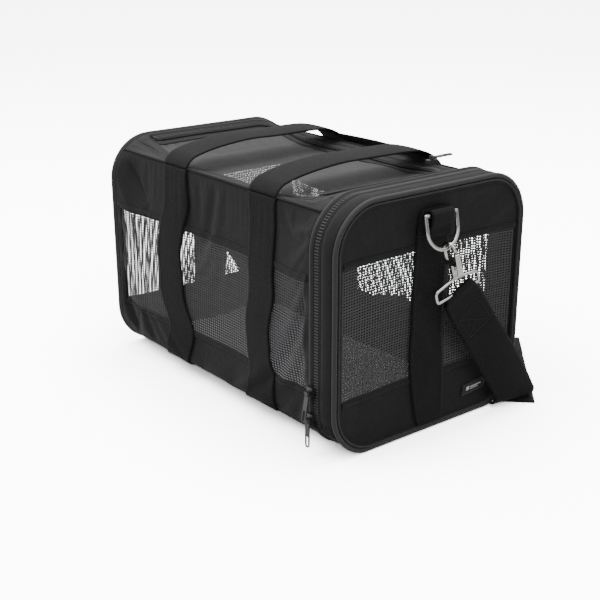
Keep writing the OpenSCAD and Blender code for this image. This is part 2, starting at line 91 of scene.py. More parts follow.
def quarter(arc, flat, x):
    """One panel's section: arc is the distance along it from its middle; gives (along, out)."""
    length = flat + ARC
    angle = max(abs(arc) - flat, 0) / CORNER_R
    sign = math.copysign(1, arc)
    round_a = sign * (min(abs(arc), flat) + CORNER_R * math.sin(angle))
    round_h = CORNER_R * math.cos(angle)
    chord = flat + CORNER_R * math.sin(math.pi / 4)
    low = CORNER_R * math.cos(math.pi / 4)
    soft_a = arc / length * chord
    soft_h = low + (CORNER_R - low) * 0.86 * (1 - abs(arc / length) ** 3.2)
    w = 0.9 * smoothstep(min(x - BODY_X0, BODY_X1 - x) / ENDS)
    return round_a + (soft_a - round_a) * w, round_h + (soft_h - round_h) * w


def arc_of(place, flat):
    """Distance along a panel of a place given straight across it."""
    if abs(place) <= flat:
        return place
    return math.copysign(flat + CORNER_R * math.asin(min((abs(place) - flat) / CORNER_R, 1)), place)


def side_form(x, arc):
    a, h = quarter(arc, FLAT_Z, x)
    return Vector((x, -(FLAT_Y + h), TOP_Z / 2 + a))


def top_form(x, arc):
    a, h = quarter(arc, FLAT_Y, x)
    return Vector((x, a, TOP_Z / 2 + FLAT_Z + h))


def bottom_form(x, arc):
    a, h = quarter(arc, FLAT_Y, BODY_X0)
    return Vector((x, a, TOP_Z / 2 - FLAT_Z - h))


def patch(bm, form, u, v, nu, nv):
    """Adds a grid whose (u, v) runs over two ranges, in metres, placed by form(u, v)."""
    grid = bmesh.ops.create_grid(bm, x_segments=nu, y_segments=nv, size=0.5)
    layer = bm.loops.layers.uv.get("weave") or bm.loops.layers.uv.new("weave")
    spots = {}
    for vert in grid["verts"]:
        spots[vert] = (u[0] + (vert.co.x + 0.5) * (u[1] - u[0]), v[0] + (vert.co.y + 0.5) * (v[1] - v[0]))
    faces = {face for vert in grid["verts"] for face in vert.link_faces}
    for face in faces:
        face.smooth = True
        for loop in face.loops:
            loop[layer].uv = spots[loop.vert]
    for vert in grid["verts"]:
        vert.co = form(*spots[vert])
    return faces


def patches(bm, form, strips):
    """Adds several grids of one surface: each strip is its two ranges and its two counts."""
    for u, v, nu, nv in strips:
        patch(bm, form, u, v, nu, nv)


def placed(name, data):
    """A new object in the scene."""
    obj = bpy.data.objects.new(name, data)
    bpy.context.scene.collection.objects.link(obj)
    return obj


def mesh_of(bm, name):
    """Turns a bmesh into a mesh and frees it."""
    mesh = bpy.data.meshes.new(name)
    bm.to_mesh(mesh)
    bm.free()
    return mesh


def piece_from(bm, name, material, body, replaces=(), thick=0.0, offset=-1.0, flip=False, merge=1e-5):
    """Makes a finished object of a bmesh: merges it, gives it its material, thickness and body, and hides the
    parts it replaces.
    """
    bmesh.ops.remove_doubles(bm, verts=bm.verts, dist=merge)
    if flip:
        bmesh.ops.reverse_faces(bm, faces=bm.faces)
    obj = placed(name, mesh_of(bm, name))
    obj.data.materials.append(material)
    if thick:
        solid = obj.modifiers.new("thickness", "SOLIDIFY")
        solid.thickness = thick
        solid.offset = offset
    if body:
        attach(obj, body)
    if replaces:
        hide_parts(*replaces)
    return obj


class Cloth:
    """A panel's settled surface, read back by its own coordinates."""

    def __init__(self, points, u, v):
        self.points, self.u, self.v = points, u, v

    def at(self, u, v, out=0.0):
        nu, nv = self.points.shape[0] - 1, self.points.shape[1] - 1
        fu = min(max((u - self.u[0]) / (self.u[1] - self.u[0]), 0), 1) * nu
        fv = min(max((v - self.v[0]) / (self.v[1] - self.v[0]), 0), 1) * nv
        i, j = min(int(fu), nu - 1), min(int(fv), nv - 1)
        a, b = fu - i, fv - j
        p = self.points
        low = p[i, j] * (1 - a) + p[i + 1, j] * a
        high = p[i, j + 1] * (1 - a) + p[i + 1, j + 1] * a
        spot = Vector(low * (1 - b) + high * b)
        if not out:
            return spot
        along = Vector(p[i + 1, j] - p[i, j]) * (1 - b) + Vector(p[i + 1, j + 1] - p[i, j + 1]) * b
        across = Vector(p[i, j + 1] - p[i, j]) * (1 - a) + Vector(p[i + 1, j + 1] - p[i + 1, j]) * a
        return spot + along.cross(across).normalized() * out


def held_back(before, after, cap):
    """Where simulated points end up when none may move further than the cap."""
    step = after - before
    far = np.maximum(np.linalg.norm(step, axis=1, keepdims=True), 1e-9)
    return before + step * np.minimum(1, cap / far)


def settle(form, u, v, nu, nv, held, slack=0.008, gravity=1.0, frames=24, stiff=6.0, cap=0.012):
    """Drapes a panel by cloth simulation with its sewn places held, and returns its surface."""
    bm = bmesh.new()
    patch(bm, form, u, v, nu, nv)
    mesh = mesh_of(bm, "drape")
    obj = placed("drape", mesh)
    rest = np.array([vert.co for vert in mesh.vertices])
    spots = np.zeros((len(rest), 2))
    for loop, data in zip(mesh.loops, mesh.uv_layers[0].data):
        spots[loop.vertex_index] = data.uv
    moved = rest
    group = obj.vertex_groups.new(name="sewn")
    for index, spot in enumerate(spots):
        weight = held(*spot)
        if weight > 0:
            group.add([index], weight, "REPLACE")
    cloth = obj.modifiers.new("cloth", "CLOTH").settings
    cloth.quality = 6
    cloth.mass = 0.25
    cloth.tension_stiffness = cloth.compression_stiffness = 18
    cloth.shear_stiffness = 8
    cloth.bending_stiffness = stiff
    cloth.vertex_group_mass = "sewn"
    cloth.shrink_min = -slack
    cloth.effector_weights.gravity = gravity
    scene = bpy.context.scene
    for step in range(1, frames + 1):
        scene.frame_set(step)
    depsgraph = bpy.context.evaluated_depsgraph_get()
    draped = obj.evaluated_get(depsgraph).to_mesh()
    moved = held_back(rest, np.array([vert.co for vert in draped.vertices]), cap)
    scene.frame_set(1)
    bpy.data.objects.remove(obj)
    order_u = np.round((spots[:, 0] - u[0]) / (u[1] - u[0]) * nu).astype(int)
    order_v = np.round((spots[:, 1] - v[0]) / (v[1] - v[0]) * nv).astype(int)
    points = np.zeros((nu + 1, nv + 1, 3))
    points[order_u, order_v] = moved
    return Cloth(points, u, v)


def crease(p, start, end, width, depth):
    """Depth of a soft crease at p, run between two points and fading at its ends."""
    a, b = Vector(start), Vector(end)
    along = b - a
    t = min(max((p - a).dot(along) / along.length_squared, 0), 1)
    gap = (p - (a + along * t)).length / width
    return depth * math.exp(-gap * gap) * math.sin(math.pi * min(max(t, 0.06), 0.94)) ** 0.5


def rail(points, closed=False, steps=12):
    """A smooth line through points: gives its length and a function of distance to (place, direction)."""
    pts = [Vector(p) for p in points]
    n = len(pts)
    line = []
    for i in range(n if closed else n - 1):
        a, b = pts[i], pts[(i + 1) % n]
        before = pts[i - 1] if closed or i else a * 2 - b
        after = pts[(i + 2) % n] if closed or i + 2 < n else b * 2 - a
        for k in range(steps):
            t = k / steps
            p = 0.5 * ((2 * a) + (b - before) * t + (2 * before - 5 * a + 4 * b - after) * t * t
                       + (3 * a - before - 3 * b + after) * t ** 3)
            line.append(p)
    line.append(line[0].copy() if closed else pts[-1].copy())
    gone = [0.0]
    for a, b in zip(line, line[1:]):
        gone.append(gone[-1] + (b - a).length)

    def at(s):
        s = s % gone[-1] if closed else min(max(s, 0), gone[-1])
        lo = int(np.searchsorted(gone, s, side="right")) - 1
        lo = min(max(lo, 0), len(line) - 2)
        step = line[lo + 1] - line[lo]
        return line[lo] + step * ((s - gone[lo]) / max(step.length, 1e-9)), step.normalized()

    return gone[-1], at


def tube(bm, line, radius, rings, sides, out=Vector((1, 0, 0)), closed=False, steps=4):
    """Adds a round bead that follows a line of points."""
    length, at = rail(line, closed, steps)

    def form(u, v):
        place, along = at(u)
        side = along.cross(out).normalized()
        up = side.cross(along)
        angle = v / radius
        return place + (side * math.cos(angle) + up * math.sin(angle)) * radius
    return patch(bm, form, (0, length), (0, 2 * math.pi * radius), rings, sides)


def stitches(bm, line, up, closed=False, steps=3, pitch=0.0032, size=0.00032, start=0.002):
    """Adds a row of raised stitches along a line of points; up points off the cloth."""
    length, at = rail(line, closed, steps)
    s = start
    while s + pitch * 0.7 < length:
        side = at(s)[1].cross(up).normalized()
        rings = []
        for k, w in ((0, 0.35), (0.25, 1), (0.75, 1), (1, 0.35)):
            middle = at(s + k * pitch * 0.72)[0] + up * size * 0.4
            rings.append([bm.verts.new(middle + side * size * x * w + up * size * y * w)
                          for x, y in ((1, 0), (0.5, 0.8), (-0.5, 0.8), (-1, 0))])
        for one, two in zip(rings, rings[1:]):
            for k in range(3):
                bm.faces.new((one[k], two[k], two[k + 1], one[k + 1])).smooth = True
        s += pitch


def calc(tree, kind, a, b=None, c=None):
    node = tree.nodes.new("ShaderNodeMath")
    node.operation = kind
    for socket, value in zip(node.inputs, (a, b, c)):
        if value is None:
            continue
        if isinstance(value, (int, float)):
            socket.default_value = value
        else:
            tree.links.new(value, socket)
    return node.outputs[0]


def make_group(name, inputs, outputs):
    group = bpy.data.node_groups.new(name, "ShaderNodeTree")
    for label, kind, value in inputs:
        socket = group.interface.new_socket(name=label, in_out="INPUT", socket_type=kind)
        if value is not None:
            socket.default_value = value
    for label, kind in outputs:
        group.interface.new_socket(name=label, in_out="OUTPUT", socket_type=kind)
    return group, group.nodes.new("NodeGroupInput"), group.nodes.new("NodeGroupOutput")


def noise_of(tree, place, scale, detail=2.0, distortion=0.0):
    """A noise over a place; a scale that is a socket is linked."""
    node = tree.nodes.new("ShaderNodeTexNoise")
    node.inputs["Detail"].default_value = detail
    node.inputs["Distortion"].default_value = distortion
    tree.links.new(place, node.inputs["Vector"])
    if isinstance(scale, (int, float)):
        node.inputs["Scale"].default_value = scale
    else:
        tree.links.new(scale, node.inputs["Scale"])
    return node.outputs[0]


def bump_of(tree, height, distance, strength=1.0, under=None):
    """A bump from a height, laid over another bump's normal."""
    node = tree.nodes.new("ShaderNodeBump")
    node.inputs["Distance"].default_value = distance
    node.inputs["Strength"].default_value = strength
    tree.links.new(height, node.inputs["Height"])
    if under:
        tree.links.new(under, node.inputs["Normal"])
    return node.outputs[0]


def two_tone(tree, shader, amount, dark, light):
    """Colours a shader between two tones by an amount that changes over the surface."""
    mix = tree.nodes.new("ShaderNodeMix")
    mix.data_type = "RGBA"
    mix.inputs[6].default_value = (*dark, 1)
    mix.inputs[7].default_value = (*light, 1)
    tree.links.new(amount, mix.inputs[0])
    tree.links.new(mix.outputs[2], shader.inputs["Base Color"])


# Plain weave: warp and weft threads that pass over each other by turns
weave, given, result = make_group(
    "weave",
    (("Place", "NodeSocketVector", None), ("Warp", "NodeSocketFloat", 1500.0),
     ("Weft", "NodeSocketFloat", 1500.0)),
    (("Height", "NodeSocketFloat"), ("Over", "NodeSocketFloat")),
)
parts = weave.nodes.new("ShaderNodeSeparateXYZ")
weave.links.new(given.outputs["Place"], parts.inputs[0])
warp = calc(weave, "SINE", calc(weave, "MULTIPLY", calc(weave, "MULTIPLY", parts.outputs[0],
                                                        given.outputs["Warp"]), math.pi))
weft = calc(weave, "SINE", calc(weave, "MULTIPLY", calc(weave, "MULTIPLY", parts.outputs[1],
                                                        given.outputs["Weft"]), math.pi))
over = calc(weave, "GREATER_THAN", calc(weave, "MULTIPLY", warp, weft), 0.0)
high = calc(weave, "MULTIPLY", calc(weave, "ABSOLUTE", warp), over)
low = calc(weave, "MULTIPLY", calc(weave, "ABSOLUTE", weft), calc(weave, "SUBTRACT", 1.0, over))
weave.links.new(calc(weave, "ADD", high, low), result.inputs["Height"])
weave.links.new(over, result.inputs["Over"])

# Wear: slow patches of tone over the cloth and finer lint on top of it
wear, given, result = make_group("wear", (("Scale", "NodeSocketFloat", 14.0),),
                                 (("Tone", "NodeSocketFloat"),))
spot = wear.nodes.new("ShaderNodeTexCoord")
slow = noise_of(wear, spot.outputs["Object"], given.outputs["Scale"], 4)
fine = noise_of(wear, spot.outputs["Object"], 900)
tone = calc(wear, "ADD", calc(wear, "MULTIPLY", slow, 0.6), calc(wear, "MULTIPLY", fine, 0.4))
wear.links.new(tone, result.inputs["Tone"])


def fabric(name, dark, light, warp, weft, depth, rough=0.75, sheen=0.25, creases=0.0):
    """A woven cloth: two tones by thread and wear, bump from the weave and from small creases."""
    material = bpy.data.materials.new(name)
    material.use_nodes = True
    tree = material.node_tree
    shader = tree.nodes["Principled BSDF"]
    shader.inputs["Sheen Weight"].default_value = sheen
    shader.inputs["Sheen Roughness"].default_value = 0.45
    shader.inputs["Specular IOR Level"].default_value = 0.18
    place = tree.nodes.new("ShaderNodeUVMap")
    place.uv_map = "weave"
    threads = tree.nodes.new("ShaderNodeGroup")
    threads.node_tree = weave
    threads.inputs["Warp"].default_value = warp
    threads.inputs["Weft"].default_value = weft
    tree.links.new(place.outputs[0], threads.inputs["Place"])
    worn = tree.nodes.new("ShaderNodeGroup")
    worn.node_tree = wear
    amount = calc(tree, "ADD", calc(tree, "MULTIPLY", threads.outputs["Height"], 0.45),
                  calc(tree, "MULTIPLY", worn.outputs["Tone"], 0.6))
    two_tone(tree, shader, amount, dark, light)
    tree.links.new(calc(tree, "ADD", calc(tree, "MULTIPLY", worn.outputs["Tone"], 0.25), rough - 0.12),
                   shader.inputs["Roughness"])
    relief = bump_of(tree, threads.outputs["Height"], depth, 0.6)
    if creases:
        spot = tree.nodes.new("ShaderNodeTexCoord")
        folds = noise_of(tree, spot.outputs["Object"], 22, 3, 0.6)
        relief = bump_of(tree, folds, creases, under=relief)
    tree.links.new(relief, shader.inputs["Normal"])
    return material


POLY = fabric("side polyester", (0.0042, 0.0042, 0.0044), (0.0115, 0.0115, 0.0118), 1300, 1300, 0.00018,
              0.62, 0.06, 0.0012)
SIDE_V = FLAT_Z + ARC
TOP_V = FLAT_Y + ARC
BANDS = (0.065, -0.070)
BAND_W = 0.038
ACROSS = (-BAND_W / 2, BAND_W / 2)


def wall_held(u, v):
    if min(u - BODY_X0, BODY_X1 - u) < 0.004 or SIDE_V - abs(v) < 0.004:
        return 1.0
    return 0.12 if min(abs(u - x) for x in BANDS) < 0.017 else 0.0


def wall_start(x, arc):
    """The wall before it settles: slack cloth, pinched a little at the rear corners."""
    p = side_form(x, arc)
    push = noise.noise(Vector((x * 11, arc * 13, 4.2))) * 0.007
    push += crease(p, (-0.160, -0.105, 0.200), (-0.118, -0.108, 0.160), 0.007, 0.007)
    push += crease(p, (-0.164, -0.105, 0.012), (-0.120, -0.108, 0.060), 0.010, 0.008)
    push += crease(p, (-0.050, -0.108, 0.128), (-0.010, -0.108, 0.158), 0.009, 0.004)
    edge = smoothstep(min(x - BODY_X0, BODY_X1 - x, SIDE_V - abs(arc)) / 0.02)
    return p + Vector((0, push * edge, 0))


left_wall = settle(wall_start, (BODY_X0, BODY_X1), (-SIDE_V, SIDE_V), 104, 66, wall_held)


def wall_at(u, v, out, sign):
    """A place on the left wall's settled cloth, or with sign -1 on the right wall's."""
    p = left_wall.at(u, v, out)
    return Vector((p.x, p.y * sign, p.z))


WIN_X0, WIN_X1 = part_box("side_left_mesh")[0][0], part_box("side_left_mesh")[1][0]
WIN_V0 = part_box("side_left_mesh")[0][2] - TOP_Z / 2
WIN_V1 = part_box("side_left_mesh")[1][2] - TOP_Z / 2

MESH = fabric("window mesh", (0.022, 0.022, 0.0225), (0.068, 0.068, 0.069), 500, 500, 0.0003, 0.55, 0.05)


HEM = 0.005
NET_LAP = 0.002                   # how far a net runs under the cloth round it
MESH_SQUASH = 0.8                 # a hole's height to its width


def net(bm, form, u, v, pitch=0.0031, yarn=0.00140):
    """Adds an open net: holes at the net's pitch between flat-lying yarns, lapped under the cloth."""
    u = (u[0] - NET_LAP, u[1] + NET_LAP)
    v = (v[0] - NET_LAP, v[1] + NET_LAP)
    nu = max(round((u[1] - u[0]) / pitch), 1)
    nv = max(round((v[1] - v[0]) / pitch / MESH_SQUASH), 1)
    cells = patch(bm, form, u, v, nu, nv)
    bm.normal_update()
    bmesh.ops.inset_individual(bm, faces=list(cells), thickness=yarn / 2, use_even_offset=True)
    bmesh.ops.delete(bm, geom=list(cells), context="FACES_ONLY")


def wall_pieces(side, sign, body="bag"):
    """Fabric, net, hems and stitches of one long wall, read off the settled surface."""
    def skin(out):
        return lambda u, v: wall_at(u, v, out, sign)
    strips = (
        ((BODY_X0, BODY_X1), (-SIDE_V, WIN_V0), 150, 34),
        ((BODY_X0, BODY_X1), (WIN_V1, SIDE_V), 150, 34),
        ((BODY_X0, WIN_X0), (WIN_V0, WIN_V1), 4, 50),
        ((WIN_X1, BODY_X1), (WIN_V0, WIN_V1), 4, 50),
    )
    bm = bmesh.new()
    patches(bm, skin(0), strips)
    piece_from(bm, f"{side}_wall_cloth", POLY, body, (f"side_{side}",), CLOTH_T, flip=sign < 0)
    bm = bmesh.new()
    net(bm, skin(-0.0006), (WIN_X0, WIN_X1), (WIN_V0, WIN_V1))
    piece_from(bm, f"{side}_wall_net", MESH, body, (f"side_{side}_mesh",), flip=sign < 0)
    bm = bmesh.new()
    for v in (WIN_V0 - HEM, WIN_V1):
        patch(bm, skin(0.0007), (WIN_X0 - HEM, WIN_X1 + HEM), (v, v + HEM), 140, 2)
    piece_from(bm, f"{side}_wall_hems", POLY, body, (), 0.0007, flip=sign < 0)
    bm = bmesh.new()
    for v in (WIN_V0 - HEM / 2, WIN_V1 + HEM / 2):
        line = [skin(0.0008)(WIN_X0 + (WIN_X1 - WIN_X0) * k / 60, v) for k in range(61)]
        stitches(bm, line, Vector((0, -sign, 0)))
    piece_from(bm, f"{side}_wall_stitches", THREAD, body, merge=STITCH_MERGE)


THREAD = fabric("thread", (0.010, 0.010, 0.0105), (0.035, 0.035, 0.036), 3000, 3000, 0.0001, 0.6, 0.05)
wall_pieces("left", 1)
wall_pieces("right", -1)

bm = bmesh.new()
patch(bm, bottom_form, (BODY_X0, BODY_X1), (-TOP_V, TOP_V), 60, 50)
piece_from(bm, "floor_cloth", POLY, "bag", ("bottom_panel",), 0.0006, offset=1)

# Welted seams on the corners' diagonals, where the walls meet the top
PIPING = fabric("piping", (0.013, 0.013, 0.0135), (0.042, 0.042, 0.043), 1100, 1100, 0.0002, 0.45, 0.12)
bm = bmesh.new()
for sign in (1, -1):
    line = [wall_at(BODY_X0 + (BODY_X1 - BODY_X0) * k / 60, SIDE_V, 0.0004, sign) + Vector((0, 0, 0.0004))
            for k in range(61)]
    tube(bm, line, 0.0011, 120, 8, Vector((0, -1, 1)), steps=2)
piece_from(bm, "corner_welts", POLY, "bag")

# ---------------------------------------------------------------- Top opening
# The top is one layer with a round-cornered flap in its middle: the flap's net sags between its
# bindings, the zip that frees it runs round three sides, and the left side is its hinge.

FLAP_X0, FLAP_X1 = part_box("flap_panel")[0][0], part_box("flap_panel")[1][0]
FLAP_V = arc_of(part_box("flap_panel")[1][1], FLAT_Y)
NET_X0, NET_X1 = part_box("flap_mesh")[0][0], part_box("flap_mesh")[1][0]
NET_V = arc_of(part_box("flap_mesh")[1][1], FLAT_Y)


def top_held(u, v):
    if min(u - BODY_X0, BODY_X1 - u) < 0.004 or TOP_V - abs(v) < 0.004:
        return 1.0
    return 0.05 if abs(abs(v) - FLAP_V) < 0.004 else 0.0


def top_start(x, arc):
    p = top_form(x, arc)
    sag = 0.004 * (1 - (arc / TOP_V) ** 2) * math.sin(math.pi * (x - BODY_X0) / (BODY_X1 - BODY_X0)) ** 0.7
    push = noise.noise(Vector((x * 14, arc * 9, 9.1))) * 0.003
    push += crease(p, (-0.150, -0.080, 0.217), (-0.110, -0.020, 0.217), 0.006, 0.003)
    edge = smoothstep(min(x - BODY_X0, BODY_X1 - x, TOP_V - abs(arc)) / 0.02)
    return p + Vector((0, 0, -sag - push * edge))


top = settle(top_start, (BODY_X0, BODY_X1), (-TOP_V, TOP_V), 104, 66, top_held, slack=0.006)


def top_skin(out):
    return lambda u, v: top.at(u, v, out)


# The top's polyester is the side polyester painted about twice as light: painted light on the top, which
# faces the lamps above.
TOP_CLOTH_PAINTED_LIT = fabric("top polyester painted lit", (0.010, 0.010, 0.0103), (0.024, 0.024, 0.025), 1300, 1300, 0.00018, 0.6,
                   0.06, 0.0016)
TOP_NET = fabric("top mesh", (0.021, 0.021, 0.0215), (0.070, 0.070, 0.072), 588, 588, 0.0003, 0.5, 0.05)
GAP = 0.0004
bm = bmesh.new()
patches(bm, top_skin(0), (
    ((BODY_X0, BODY_X1), (-TOP_V, -FLAP_V), 150, 10),
    ((BODY_X0, BODY_X1), (FLAP_V + GAP, TOP_V), 150, 10),
    ((BODY_X0, FLAP_X0 - GAP), (-FLAP_V, FLAP_V + GAP), 6, 80),
    ((FLAP_X1 + GAP, BODY_X1), (-FLAP_V, FLAP_V + GAP), 16, 80),
))
piece_from(bm, "top_cloth", TOP_CLOTH_PAINTED_LIT, "bag", ("top_border",), CLOTH_T)

bm = bmesh.new()
patches(bm, top_skin(0.0002), (
    ((FLAP_X0, FLAP_X1), (-FLAP_V, -NET_V), 130, 5),
    ((FLAP_X0, FLAP_X1), (NET_V, FLAP_V), 130, 5),
    ((FLAP_X0, NET_X0), (-NET_V, NET_V), 5, 70),
    ((NET_X1, FLAP_X1), (-NET_V, NET_V), 5, 70),
))
piece_from(bm, "flap_border", TOP_CLOTH_PAINTED_LIT, "flap", ("flap_panel",), CLOTH_T)
bm = bmesh.new()
net(bm, top_skin(-0.0006), (NET_X0, NET_X1), (-NET_V, NET_V), 0.0019, 0.00125)
piece_from(bm, "flap_net", TOP_NET, "flap", ("flap_mesh",))


def flap_line(grow, corner=0.030):
    """The flap's outline on three sides, grown: from the rear left round the right to the front left."""
    x0, x1, v1 = FLAP_X0 - grow, FLAP_X1 + grow, FLAP_V + grow
    r = corner + grow
    line = [(x0, -FLAP_V + 0.014 + (v1 - r + FLAP_V - 0.014) * k / 20) for k in range(21)]
    line += [(x0 + r - r * math.cos(k * math.pi / 16), v1 - r + r * math.sin(k * math.pi / 16))
             for k in range(1, 8)]
    line += [(x0 + r + (x1 - x0 - 2 * r) * k / 30, v1) for k in range(31)]
    line += [(x1 - r + r * math.sin(k * math.pi / 16), v1 - r + r * math.cos(k * math.pi / 16))
             for k in range(1, 8)]
    line += [(x1, v1 - r - (v1 - r + FLAP_V - 0.014) * k / 20) for k in range(21)]
    return line


def band_along(bm, inner, outer, skin, rows=2):
    """Adds a strip between two matching lines on a surface."""
    n = len(inner) - 1

    def form(u, v):
        k = min(int(u / 0.004), n - 1)
        t = u / 0.004 - k
        a = [inner[k][i] * (1 - t) + inner[k + 1][i] * t for i in (0, 1)]
        b = [outer[k][i] * (1 - t) + outer[k + 1][i] * t for i in (0, 1)]
        w = v / 0.005
        return skin(a[0] * (1 - w) + b[0] * w, a[1] * (1 - w) + b[1] * w)
    patch(bm, form, (0, 0.004 * n), (0, 0.005), n, rows)


def coil(bm, at, length, up, side, pitch=0.0017, reach=0.0016, size=0.0005):
    """Adds a zip's coil: one rounded bar for each tooth, lying across the tape's edge."""
    s = pitch / 2
    while s < length - pitch / 2:
        place, along = at(s)
        lift = up(s)
        across = side(s)
        ends = []
        for k, w in ((0, 0.6), (0.3, 1), (0.8, 1), (1, 0.7)):
            middle = place + across * reach * k + lift * size * 0.4
            ends.append([bm.verts.new(middle + along * size * x * w + lift * size * y * w)
                         for x, y in ((0.9, -0.4), (0.7, 0.8), (-0.7, 0.8), (-0.9, -0.4))])
        for one, two in zip(ends, ends[1:]):
            for k in range(3):
                bm.faces.new((one[k], one[k + 1], two[k + 1], two[k])).smooth = True
        for one in (ends[0], ends[-1]):
            bm.faces.new(one)
        s += pitch


TAPE = fabric("zip tape", (0.004, 0.004, 0.004), (0.012, 0.012, 0.0122), 1600, 800, 0.0002, 0.7, 0.05)
COIL = fabric("zip coil", (0.040, 0.040, 0.0405), (0.100, 0.100, 0.102), 200, 200, 0.00005, 0.34, 0.0)
ZIP_W = 0.005
for name, body, node, a, b, lip in (
    ("flap_zip_outer", "bag", "flap_zip_body", GAP / 2, GAP + ZIP_W, 1),
    ("flap_zip_inner", "flap", "flap_zip_flap", -GAP / 2, -ZIP_W, -1),
):
    bm = bmesh.new()
    band_along(bm, flap_line(a), flap_line(b), top_skin(0.0009))
    piece_from(bm, name + "_tape", TAPE, body, (node,), 0.0005, flip=lip > 0)
    bm = bmesh.new()
    spots = [top.at(x, v, 0.0012) for x, v in flap_line(a)]
    wide = [top.at(x, v, 0.0012) for x, v in flap_line(b)]
    length, at = rail(spots, steps=4)
    far, at_far = rail(wide, steps=4)
    coil(bm, at, length, lambda s: Vector((0, 0, 1)),
         lambda s: (at_far(s / length * far)[0] - at(s)[0]).normalized())
    piece_from(bm, name + "_coil", COIL, body, merge=STITCH_MERGE)
    bm = bmesh.new()
    tube(bm, wide, 0.0006, 150, 8, Vector((0, 0, 1)), steps=3)
    piece_from(bm, name + "_edge", TOP_CLOTH_PAINTED_LIT, body)

# ---------------------------------------------------------------- Ends
# Each end is a round-cornered panel stiffened by piping: cloth below and above a net window, a
# strip of webbing up its middle. The cloth hangs a little hollow between the pipings.

PLATE_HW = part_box("door_panel")[1][1]
PLATE_Z0, PLATE_Z1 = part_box("door_panel")[0][2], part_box("door_panel")[1][2]
PLATE_R = 0.0379
WINDOW_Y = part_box("door_mesh")[1][1]
WINDOW_Z0, WINDOW_Z1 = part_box("door_mesh")[0][2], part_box("door_mesh")[1][2]
DOOR_X, REAR_X = 0.1728, -0.1685


def half_width(z):
    """Half the plate's width at a height, inside its round corners."""
    near = min(z - PLATE_Z0, PLATE_Z1 - z)
    if near >= PLATE_R:
        return PLATE_HW
    return PLATE_HW - PLATE_R + math.sqrt(max(PLATE_R ** 2 - (PLATE_R - near) ** 2, 1e-9))


def end_skin(x0, outward, hollow, out=0.0):
    def form(u, v):
        y = u * half_width(v) / PLATE_HW
        a = 1 - abs(u / PLATE_HW) ** 2.4
        b = (v - PLATE_Z0) / (PLATE_Z1 - PLATE_Z0)
        dip = hollow * a * min(math.sin(math.pi * b) ** 1.1, 0.9 - 0.25 * smoothstep((b - 0.72) / 0.2))
        ripple = noise.noise(Vector((y * 16, v * 18, 3.1 * outward))) * 0.0016
        ripple += noise.noise(Vector((y * 40 + v * 18, v * 12, 7.7))) * 0.0006
        rim = smoothstep(min(PLATE_HW - abs(u), v - PLATE_Z0, PLATE_Z1 - v) / 0.02)
        return Vector((x0 + outward * (out - max(dip, 0) - abs(ripple) * rim * 1.5), y, v))
    return form


# The door's polyester is the side polyester painted a little darker: painted shade on the door end. The rear
# end uses the side polyester.
DOOR_CLOTH_PAINTED_SHADE = fabric("door polyester painted shaded", (0.0035, 0.0035, 0.0036), (0.0100, 0.0100, 0.0103), 1300, 1300,
                    0.00018, 0.6, 0.05, 0.002)
WEB = fabric("webbing", (0.0016, 0.0016, 0.0017), (0.0056, 0.0056, 0.0058), 900, 450, 0.0004, 0.72, 0.04)


def end_pieces(side, x0, outward, body, cloth, panel_node, mesh_node, web_node):
    def skin(out):
        return end_skin(x0, outward, 0.007, out)
    turn = outward < 0
    bm = bmesh.new()
    patches(bm, skin(0), (
        ((-PLATE_HW, PLATE_HW), (PLATE_Z0, WINDOW_Z0), 90, 26),
        ((-PLATE_HW, PLATE_HW), (WINDOW_Z1, PLATE_Z1), 90, 26),
        ((-PLATE_HW, -WINDOW_Y), (WINDOW_Z0, WINDOW_Z1), 2, 50),
        ((WINDOW_Y, PLATE_HW), (WINDOW_Z0, WINDOW_Z1), 2, 50),
    ))
    piece_from(bm, side + "_cloth", cloth, body, (panel_node,), CLOTH_T, flip=turn)
    bm = bmesh.new()
    net(bm, skin(-0.0008), (-WINDOW_Y, WINDOW_Y), (WINDOW_Z0, WINDOW_Z1))
    piece_from(bm, side + "_net", MESH, body, (mesh_node,), flip=turn)
    bm = bmesh.new()
    for v in (WINDOW_Z0 - HEM, WINDOW_Z1):
        patch(bm, skin(0.0006), (-WINDOW_Y, WINDOW_Y), (v, v + HEM), 90, 2)
    piece_from(bm, side + "_hems", cloth, body, (), 0.0006, flip=turn)
    bm = bmesh.new()
    for v in (WINDOW_Z0 - HEM / 2, WINDOW_Z1 + HEM / 2):
        line = [skin(0.0007)(-0.098 + 0.196 * k / 40, v) for k in range(41)]
        stitches(bm, line, Vector((outward, 0, 0)))
    for edge in (-0.0165, 0.0165):
        line = [skin(0.0022)(edge, PLATE_Z0 + 0.004 + (0.196 - PLATE_Z0) * k / 60) for k in range(61)]
        stitches(bm, line, Vector((outward, 0, 0)))
    piece_from(bm, side + "_stitches", THREAD, body, merge=STITCH_MERGE)
    bm = bmesh.new()
    patch(bm, skin(0.0020), (-0.019, 0.019), (PLATE_Z0 + 0.001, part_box(web_node)[1][2]), 20, 110)
    piece_from(bm, side + "_webbing", WEB, body, (web_node,), 0.0015, flip=turn)


end_pieces("door", DOOR_X, 1, "door", DOOR_CLOTH_PAINTED_SHADE, "door_panel", "door_mesh", "door_webbing")
end_pieces("rear", REAR_X, -1, "bag", POLY, "rear_panel", "rear_mesh", "rear_webbing")


